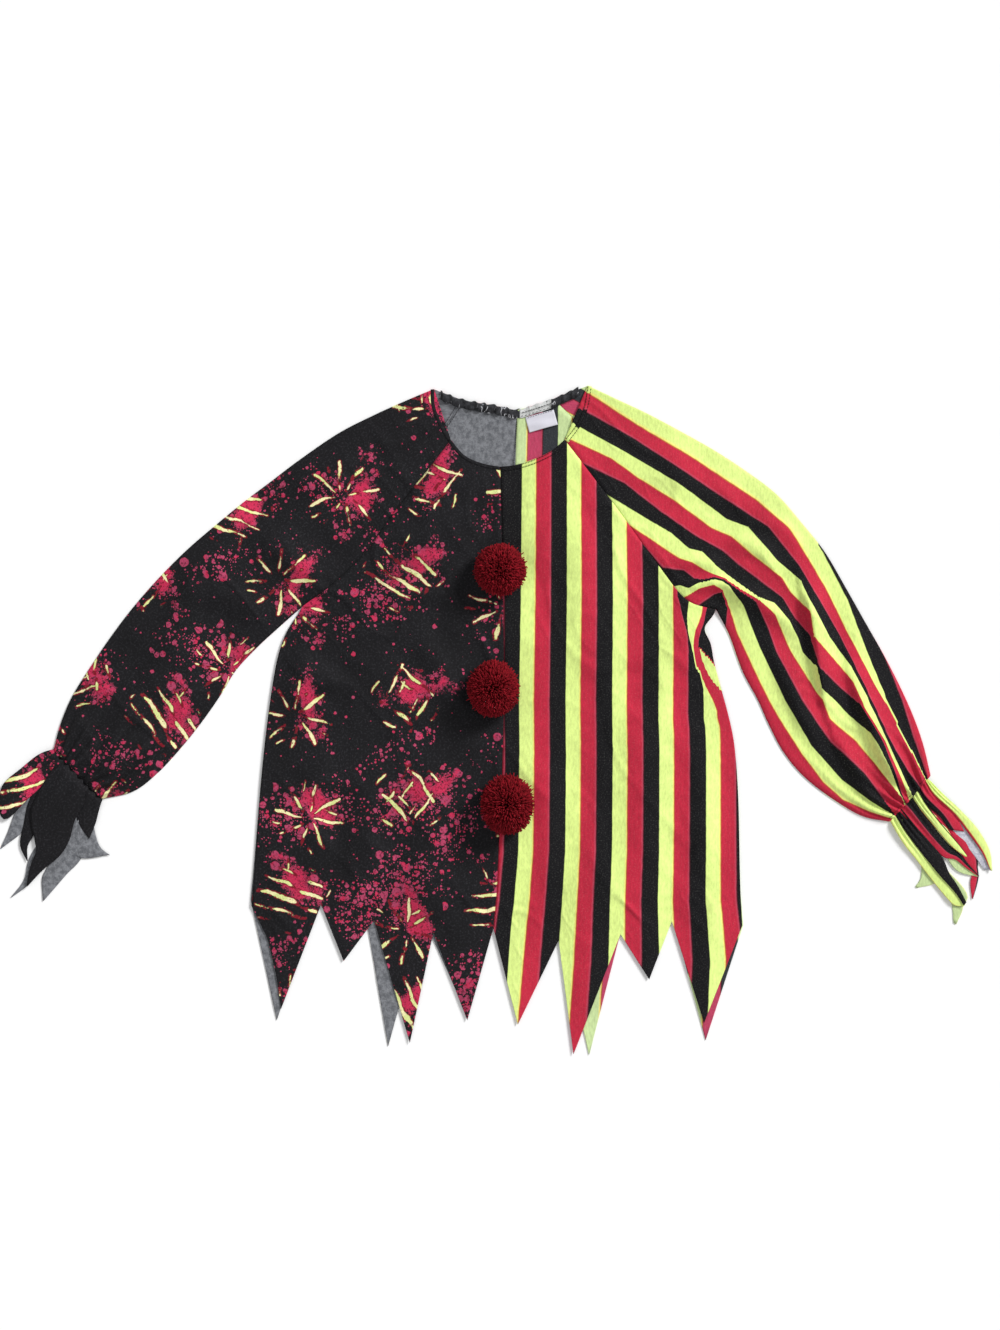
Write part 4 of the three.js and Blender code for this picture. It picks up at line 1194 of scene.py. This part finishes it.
def printed_material(name):
    material, n, shader = new_material(name)
    uv = n.uv()
    color = printed_color(n, uv)
    grain = knit(n, shader, uv, 0.5)
    lint = n.noise(uv, 430.0, 3.0, 0.7)[0]
    color = n.mix(n.times(n.step(lint, 0.50, 0.72), 0.055), color, (0.30, 0.30, 0.34, 1))
    # Broad lighter and darker patches on the black: painted sheen and painted shade of soft folds, with the
    # knit's grain.
    tone = n.noise(uv, 15.0, 4.0, 0.55)[0]
    color = n.shade(color, n.times_plus(grain, 0.7, n.times_plus(tone, 0.9, 0.2)))
    finish_cloth(n, shader, color, 0.70, 0.03, 0.15)
    return material


def grey_material(name, dark, light, marks):
    """The printed knit's wrong side, or with marks the turned edge where the print shows through pale."""
    material, n, shader = new_material(name)
    uv = n.uv()
    grain = knit(n, shader, uv, 0.55)
    tone = n.noise(uv, 150.0, 5.0, 0.75)[0]
    color = n.mix(n.step(tone, 0.34, 0.66), dark, light)
    color = n.shade(color, n.times_plus(grain, 0.5, 0.75))
    if marks:
        streak = n.noise(n.vector("MULTIPLY", uv, (1.0, 0.55, 0.0)), 95.0, 2.0, 0.55)[0]
        thin = n.math("ABSOLUTE", n.minus(streak, 0.5))
        here = n.step(n.noise(uv, 38.0, 1.0)[0], 0.50, 0.56)
        line = n.times(n.minus(1.0, n.step(thin, 0.010, 0.022)), here)
        color = n.mix(line, color, (0.55, 0.55, 0.58, 1))
    finish_cloth(n, shader, color, 0.88, 0.1)
    return material


def label_material(name):
    material, n, shader = new_material(name)
    uv = n.uv()
    weave = n.noise(uv, 1400.0, 2.0)[0]
    rib = n.wave(uv, "Y", 330.0, 0.6)
    color = n.mix(weave, (0.60, 0.59, 0.68, 1), (0.76, 0.75, 0.80, 1))
    color = n.shade(color, n.times_plus(rib, 0.08, 0.92))
    n.bump(shader, rib, 0.25, 0.0003)
    finish_cloth(n, shader, color, 0.5, 0.05)
    return material


def yarn_material(name):
    material, n, shader = new_material(name)
    where = n.add("ShaderNodeTexCoord").outputs["Object"]
    twist = n.noise(where, 700.0, 2.0, dims="3D")[0]
    clump = n.noise(where, 190.0, 2.0, dims="3D")[0]
    # The strands' painted shade, darker towards the ball's middle, sets how far each goes from the dark to
    # the light yarn colour, with lighter clumps at random.
    lift = n.times(n.attribute("shade"), n.step(clump, 0.25, 0.70))
    color = n.mix(lift, YARN_DARK, YARN_LIGHT)
    color = n.shade(color, n.times_plus(twist, 0.7, 0.65))
    n.bump(shader, twist, 0.4, 0.0005)
    finish_cloth(n, shader, color, 0.92, 0.0)
    return material


def thread_material(name, color):
    material, n, shader = new_material(name)
    where = n.add("ShaderNodeTexCoord").outputs["Object"]
    twist = n.noise(where, 1500.0, 1.0, dims="3D")[0]
    finish_cloth(n, shader, n.shade(color, n.times_plus(twist, 0.6, 0.7)), 0.6, 0.0)
    return material


PRINTED = printed_material("printed_knit")
GREY_SIDE = grey_material("printed_knit_wrong_side", WRONG_DARK, WRONG_LIGHT, False)
STRIPED = striped_material("striped_knit", False)
PALE_SIDE = striped_material("striped_knit_wrong_side", True)
TURNED_DARK = grey_material("casing_knit_dark", CASING_DARK, CASING_GREY, True)
FADED = grey_material("striped_knit_faded_edge", FADED_DARK, FADED_LIGHT, False)
TURNED_PALE = grey_material("casing_knit_pale", CASING_PALE, CASING_LIGHT, False)
LABEL_TAPE = label_material("label_tape")
YARN = yarn_material("pompom_yarn")
DARK_THREAD = thread_material("dark_thread", THREAD)
PRINTED_CLOTH = ("printed_knit", [PRINTED, GREY_SIDE])
STRIPED_CLOTH = ("striped_knit", [STRIPED, PALE_SIDE])
RUFFLE_CLOTH = ("striped_knit", [STRIPED, PALE_SIDE, FADED])

# Build the panels and the sleeves.

front_panel(
    "printed", PRINTED_CLOTH, None,
    NECK_PRINTED_FRONT, SEAM_PRINTED_FRONT, BODY_PRINTED_FRONT, [(7.75, -262, -252), (7.35, -252, -296)],
)
front_panel(
    "striped", STRIPED_CLOTH, front_stripe, NECK_STRIPED_FRONT, SEAM_STRIPED_FRONT, BODY_STRIPED_FRONT,
)
back_panel("printed", PRINTED_CLOTH, None, NECK_PRINTED_BACK, SEAM_PRINTED_BACK, BODY_PRINTED_BACK)
back_panel("striped", STRIPED_CLOTH, back_stripe, NECK_STRIPED_BACK, SEAM_STRIPED_BACK, BODY_STRIPED_BACK)
printed_grid = sleeve(
    "printed", PRINTED_CLOTH, False, 1,
    (SEAM_PRINTED_FRONT, SEAM_PRINTED_BACK), FOLD_PRINTED, UNDER_PRINTED, PETALS_PRINTED,
)
striped_grid = sleeve(
    "striped", RUFFLE_CLOTH, True, -1,
    (SEAM_STRIPED_FRONT, SEAM_STRIPED_BACK), FOLD_STRIPED, UNDER_STRIPED, PETALS_STRIPED,
)

# Neck casing, front neck edge, label and stitching.


def left_of(line):
    """Unit vectors to the left of a line's direction."""
    along = np.gradient(line, axis=0)
    along /= np.linalg.norm(along, axis=1, keepdims=True)
    return np.stack([-along[:, 1], along[:, 0]], axis=1)


def band_grid(line, width, side, steps, height, crown):
    """A narrow strip beside a line; side is 1 where it lies left of the line's direction."""
    v = np.linspace(0, 1, steps + 1)
    xy = line[:, None] + (left_of(line) * side)[:, None] * (v * width)[None, :, None]
    return raised(xy, height(xy) + crown * np.sin(math.pi * np.clip(v, 0.04, 0.96))[None, :] ** 0.7)


def casing():
    """The back neck edge, turned over elastic, in three lengths of cloth."""
    waves, per_wave, across, depth = 13, 14, 10, 10.5
    rows = waves * per_wave
    line = resampled(CASING_EDGE, rows + 1)
    x, y = line[:, :1], line[:, 1:]
    i = np.arange(rows + 1)
    phase = 2 * math.pi * i / per_wave + 1.1 * np.sin(i * 0.11) + 0.5 * np.sin(i * 0.43)
    smooth_part = smooth(line[:, 0], 24, 30) * smooth(-line[:, 0], -66, -60)
    wave = ((0.5 - 0.5 * np.cos(phase)) ** 1.2 * (1 - 0.7 * smooth_part))[:, None]
    v = np.linspace(0, 1, across + 1)
    sway = np.sin(phase + 0.9)[:, None]
    puff = (np.sin(math.pi * np.clip(v, 0.05, 0.95)) ** 0.6)[None, :]
    grid = np.zeros((rows + 1, across + 1, 3))
    grid[..., 0] = x + sway * 0.5
    grid[..., 1] = y - depth * v[None, :] + sway * (0.9 - 0.5 * v[None, :])
    grid[..., 2] = LAYER + 1.0 + 2.6 * wave * (0.4 + 0.6 * puff) + 0.8 * puff
    uv = grid[..., :2] + np.array([0.0, 60.0])
    cut = [0, int(np.argmax(line[:, 0] > 26)), int(np.argmax(line[:, 0] > 63)), rows]
    lengths = (("printed", TURNED_DARK), ("pale", TURNED_PALE), ("dark", TURNED_DARK))
    for (colour, material), a, b in zip(lengths, cut[:-1], cut[1:]):
        run = slice(a, b + 1)
        sheet = part(grid[run], uv[run], thickness=0.9)
        cloth = ("casing_knit", [material, material])
        cloth_piece("Neck_casing_" + colour, "neck_casing", cloth, [sheet])
    return line


def label():
    width, height = LABEL_SIZE
    gx, gy = np.meshgrid(np.linspace(0, width, 25), np.linspace(0, -height, 15))
    curl = np.sin(gx / width * math.pi) ** 2 * smooth(-gy, 0, 14)
    z = LAYER + 1.2 + 1.2 * curl + 0.3 * np.sin(gy * 0.5 + gx * 0.1)
    x, y = LABEL_CORNER
    c, s = math.cos(LABEL_TILT), math.sin(LABEL_TILT)
    grid = np.stack([x + gx * c - gy * s, y + gx * s + gy * c, z], axis=-1)
    sheet = part(grid, np.stack([gx, gy], axis=-1), thickness=0.4)
    cloth = ("label_tape", [LABEL_TAPE, LABEL_TAPE])
    cloth_piece("Neck_label", "neck_label", cloth, [sheet])
    top = np.array([[x + 1.5, y - 0.8], [x + 32 * c, y + 32 * s - 0.8]])
    return resampled(top, 40, False)


def stitching(name, node, rows, pitch, length, radius):
    """Short lengths of thread along each line of x, y, z points."""
    vertices, faces = [], []
    for line in rows:
        run = length_along(line)
        for start in np.arange(pitch / 2, run[-1] - length, pitch):
            at = lambda d: np.array([np.interp(d, run, line[:, k]) for k in range(3)])
            a, b = at(start), at(start + length)
            middle = (a + b) / 2 + np.array([0, 0, 0.25])
            way = (b - a) / np.linalg.norm(b - a)
            across = np.array([-way[1], way[0], 0]) * radius
            base = len(vertices)
            for point, wide in ((a, 0.5), (middle, 1.0), (b, 0.5)):
                rise = np.array([0, 0, radius * wide])
                vertices += [point + across * wide, point + rise, point - across * wide, point - rise]
            for ring in (base, base + 4):
                for k in range(4):
                    j = (k + 1) % 4
                    faces.append((ring + k, ring + j, ring + j + 4, ring + k + 4))
            faces.append((base + 3, base + 2, base + 1, base))
            faces.append((base + 8, base + 9, base + 10, base + 11))
    obj = make_object(name, in_frame(vertices), faces, [DARK_THREAD])
    place(obj, node)


def beside(line, offset, side, z):
    """The line moved sideways by offset, with its height."""
    moved = line + left_of(line) * offset * side
    return raised(moved, z(moved) if callable(z) else np.full(len(moved), z))


def turned_edge(half, cloth, parts):
    """One half of the turned front neck edge, on the front and on the sleeve."""
    cloth_piece("Neck_edge_" + half, "front_" + half, cloth, parts)


def front_neck_edge():
    """The turned front neck edge with its two rows of stitches."""
    lift = lambda xy: cloth_top(xy) - 0.1
    over = lambda xy: cloth_top(xy) + 0.85
    striped = resampled(NECK_STRIPED_FRONT, 90)
    printed = resampled(NECK_PRINTED_FRONT, 80)
    striped_sleeve = resampled([(79, 322), (93, 341), (101, 361), (105, 384)], 70)
    printed_sleeve = resampled([(-52, 322), (-63, 342), (-70, 361), (-71, 380)], 70)
    run = length_along(striped_sleeve)
    counts = np.interp(run, [0, 19.7, 41, 60, 68], [1.30, 1.0, 2 / 3, 1 / 3, 0.05])[:, None]
    parts = []
    for line in (striped, striped_sleeve):
        band = band_grid(line, HEM_WIDTH, -1, 5, lift, 0.8)
        parts.append(part(band, band[..., :2], front_stripe(band[..., :2]) if line is striped else counts))
    turned_edge("striped", STRIPED_CLOTH, parts)
    parts = []
    for line in (printed, printed_sleeve):
        band = band_grid(line, HEM_WIDTH * 0.8, 1, 5, lift, 0.7)
        parts.append(part(band, band[..., :2], 0.0, 1.0))
    turned_edge("printed", PRINTED_CLOTH, parts)
    offsets = (0.9, HEM_WIDTH - 0.6)
    rows = [beside(line, offset, -1, over) for line in (striped, striped_sleeve) for offset in offsets]
    stitching("Neck_edge_stitches", "front_striped", rows, 3.4, 2.6, 0.42)


def back_seam_stitches():
    """Double rows beside the back seams where the open neck shows them."""
    seam = resampled(SEAM_PRINTED_BACK, 200)[:46]
    centre = resampled([(24, 350), (22.5, 320), (20, 290)], 60)
    level = FLOOR_GAP + CLOTH + 1.2
    rows = [beside(seam, 2.2, side, level) for side in (1, -1)]
    stitching("Back_seam_stitches", "back_printed", rows, 3.2, 2.3, 0.4)
    rows = [beside(centre, 0.0, 1, level)]
    stitching("Back_centre_stitches", "back_striped", rows, 2.6, 2.3, 0.5)


def wrist_stitches(half, grid):
    """The row that holds the elastic, along the gathers of the wrist."""
    line = grid[-3, 2 : ACROSS - 1].copy()
    line[:, 2] += 0.3
    stitching("Wrist_stitches_" + half, "sleeve_" + half, [line], 3.8, 2.9, 0.45)


casing_line = casing()
label_line = label()
front_neck_edge()
back_seam_stitches()
wrist_stitches("printed", printed_grid)
wrist_stitches("striped", striped_grid)
rows = [beside(casing_line, 8.6, -1, LAYER + 3.4)]
stitching("Casing_stitches", "neck_casing", rows, 4.4, 2.4, 0.4)
pale = casing_line[(casing_line[:, 0] > 27) & (casing_line[:, 0] < 62)]
rows = [beside(pale, 4.6, -1, LAYER + 3.2)]
stitching("Casing_middle_stitches", "neck_casing", rows, 3.2, 2.7, 0.45)
rows = [beside(label_line, 0.0, 1, LAYER + 1.8)]
stitching("Label_stitches", "neck_label", rows, 3.0, 2.0, 0.3)

# Pompoms.


def pompom(node, x, y, radius, stretch, seed):
    """A ball of yarn ends: each a tapered three-sided strand from the middle outwards."""
    rng = np.random.default_rng(seed)
    centre = np.array([x, y, PAD_LEVEL + 0.3 + (radius - 10) * SQUASH])
    scale = np.array([1, stretch, SQUASH])
    k = np.arange(STRANDS)
    z = 1 - 2 * (k + 0.5) / STRANDS
    angle = k * math.pi * (3 - math.sqrt(5))
    around = np.sqrt(1 - z * z)
    way = np.stack([around * np.cos(angle), around * np.sin(angle), z], 1)
    way += rng.normal(0, 0.045, way.shape)
    way /= np.linalg.norm(way, axis=1, keepdims=True)
    spread = np.stack([way[:, 0] * 3 + way[:, 2] * 2, way[:, 1] * 3 - way[:, 2]], 1)
    tuft = value_noise(spread, 0.8, seed)
    reach = radius * (0.965 + 0.024 * tuft + rng.normal(0, 0.011, STRANDS))
    lean = rng.normal(0, 0.055, way.shape)
    side = np.cross(way, np.array([0.3, 0.2, 0.93]))
    side /= np.linalg.norm(side, axis=1, keepdims=True)
    other = np.cross(way, side)
    rings = []
    for share, wide in RINGS:
        middle = (way * (reach * share)[:, None] + lean * (reach * share**2)[:, None]) * scale + centre
        middle[:, 2] = np.maximum(middle[:, 2], PAD_LEVEL + 0.9)
        for j in range(3):
            a = 2 * math.pi * j / 3
            rings.append(middle + (side * math.cos(a) + other * math.sin(a)) * STRAND_RADIUS * wide)
    points = np.stack(rings, 1)
    per = points.shape[1]
    base = (np.arange(STRANDS) * per)[:, None]
    quads = []
    for ring in range(0, per - 3, 3):
        for j in range(3):
            i = (j + 1) % 3
            quads.append(base + np.array([[ring + j, ring + i, ring + i + 3, ring + j + 3]]))
    tips = base + np.array([[per - 3, per - 2, per - 1]])
    roots = base + np.array([[2, 1, 0]])
    own = np.clip(rng.normal(0.58, 0.17, STRANDS) + 0.22 * tuft, 0.05, 1)
    # Each strand's own lightness at random, darkened towards its root by the rings' painted shade.
    shade = np.repeat(own, per) * np.tile(np.repeat(RING_PAINTED_SHADE, 3), STRANDS)
    faces = [*np.concatenate(quads), *tips, *roots]
    vertices = in_frame(points.reshape(-1, 3))
    obj = make_object("Yarn_" + node, vertices, faces, [YARN], attributes={"shade": shade})
    place(obj, node)


for number, (node, px, py, radius, stretch) in enumerate(POMPOMS):
    pompom(node, px, py, radius, stretch, YARN_SEED + 3 * number)

# Floor, light and camera.

floor_mesh = bpy.data.meshes.new("Floor")
floor_mesh.from_pydata([(-30, -30, 0), (30, -30, 0), (30, 30, 0), (-30, 30, 0)], [], [(0, 1, 2, 3)])
floor = bpy.data.objects.new("Floor", floor_mesh)
bpy.context.scene.collection.objects.link(floor)
floor_material, _, floor_shader = new_material("pale_floor")
floor_shader.inputs["Base Color"].default_value = (0.94, 0.94, 0.94, 1)
floor_shader.inputs["Roughness"].default_value = 0.9
floor_shader.inputs["Specular IOR Level"].default_value = 0.05
floor_mesh.materials.append(floor_material)


def sun(name, toward, strength, angle):
    data = bpy.data.lights.new(name, "SUN")
    data.energy = strength
    data.angle = math.radians(angle)
    light = bpy.data.objects.new(name, data)
    bpy.context.scene.collection.objects.link(light)
    light.rotation_mode = "QUATERNION"
    light.rotation_quaternion = (-Vector(toward)).to_track_quat("-Z", "Y")


sun("Key", (1.15, 1.0, 1.0), 3.1, 18)
sun("Fill", (-0.7, -0.9, 2.2), 0.45, 60)

world = bpy.data.worlds.new("Studio")
bpy.context.scene.world = world
world.use_nodes = True
world.node_tree.nodes["Background"].inputs[0].default_value = (1, 1, 1, 1)
world.node_tree.nodes["Background"].inputs[1].default_value = 0.42

camera_data = bpy.data.cameras.new("Camera")
camera = bpy.data.objects.new("Camera", camera_data)
bpy.context.scene.collection.objects.link(camera)
bpy.context.scene.camera = camera
camera.location = ((VIEW_CENTRE[0] + SHIFT[0]) * MM, (VIEW_CENTRE[1] + SHIFT[1]) * MM, CAMERA_HEIGHT)
camera.rotation_euler = (0, 0, 0)
camera_data.sensor_width = 36.0
camera_data.lens = 36.0 * CAMERA_HEIGHT / VIEW_LONG
camera_data.clip_start = 0.05
camera_data.clip_end = 100.0

bpy.context.scene.view_settings.view_transform = "Standard"
bpy.context.scene.view_settings.look = "None"

bpy.context.view_layer.update()
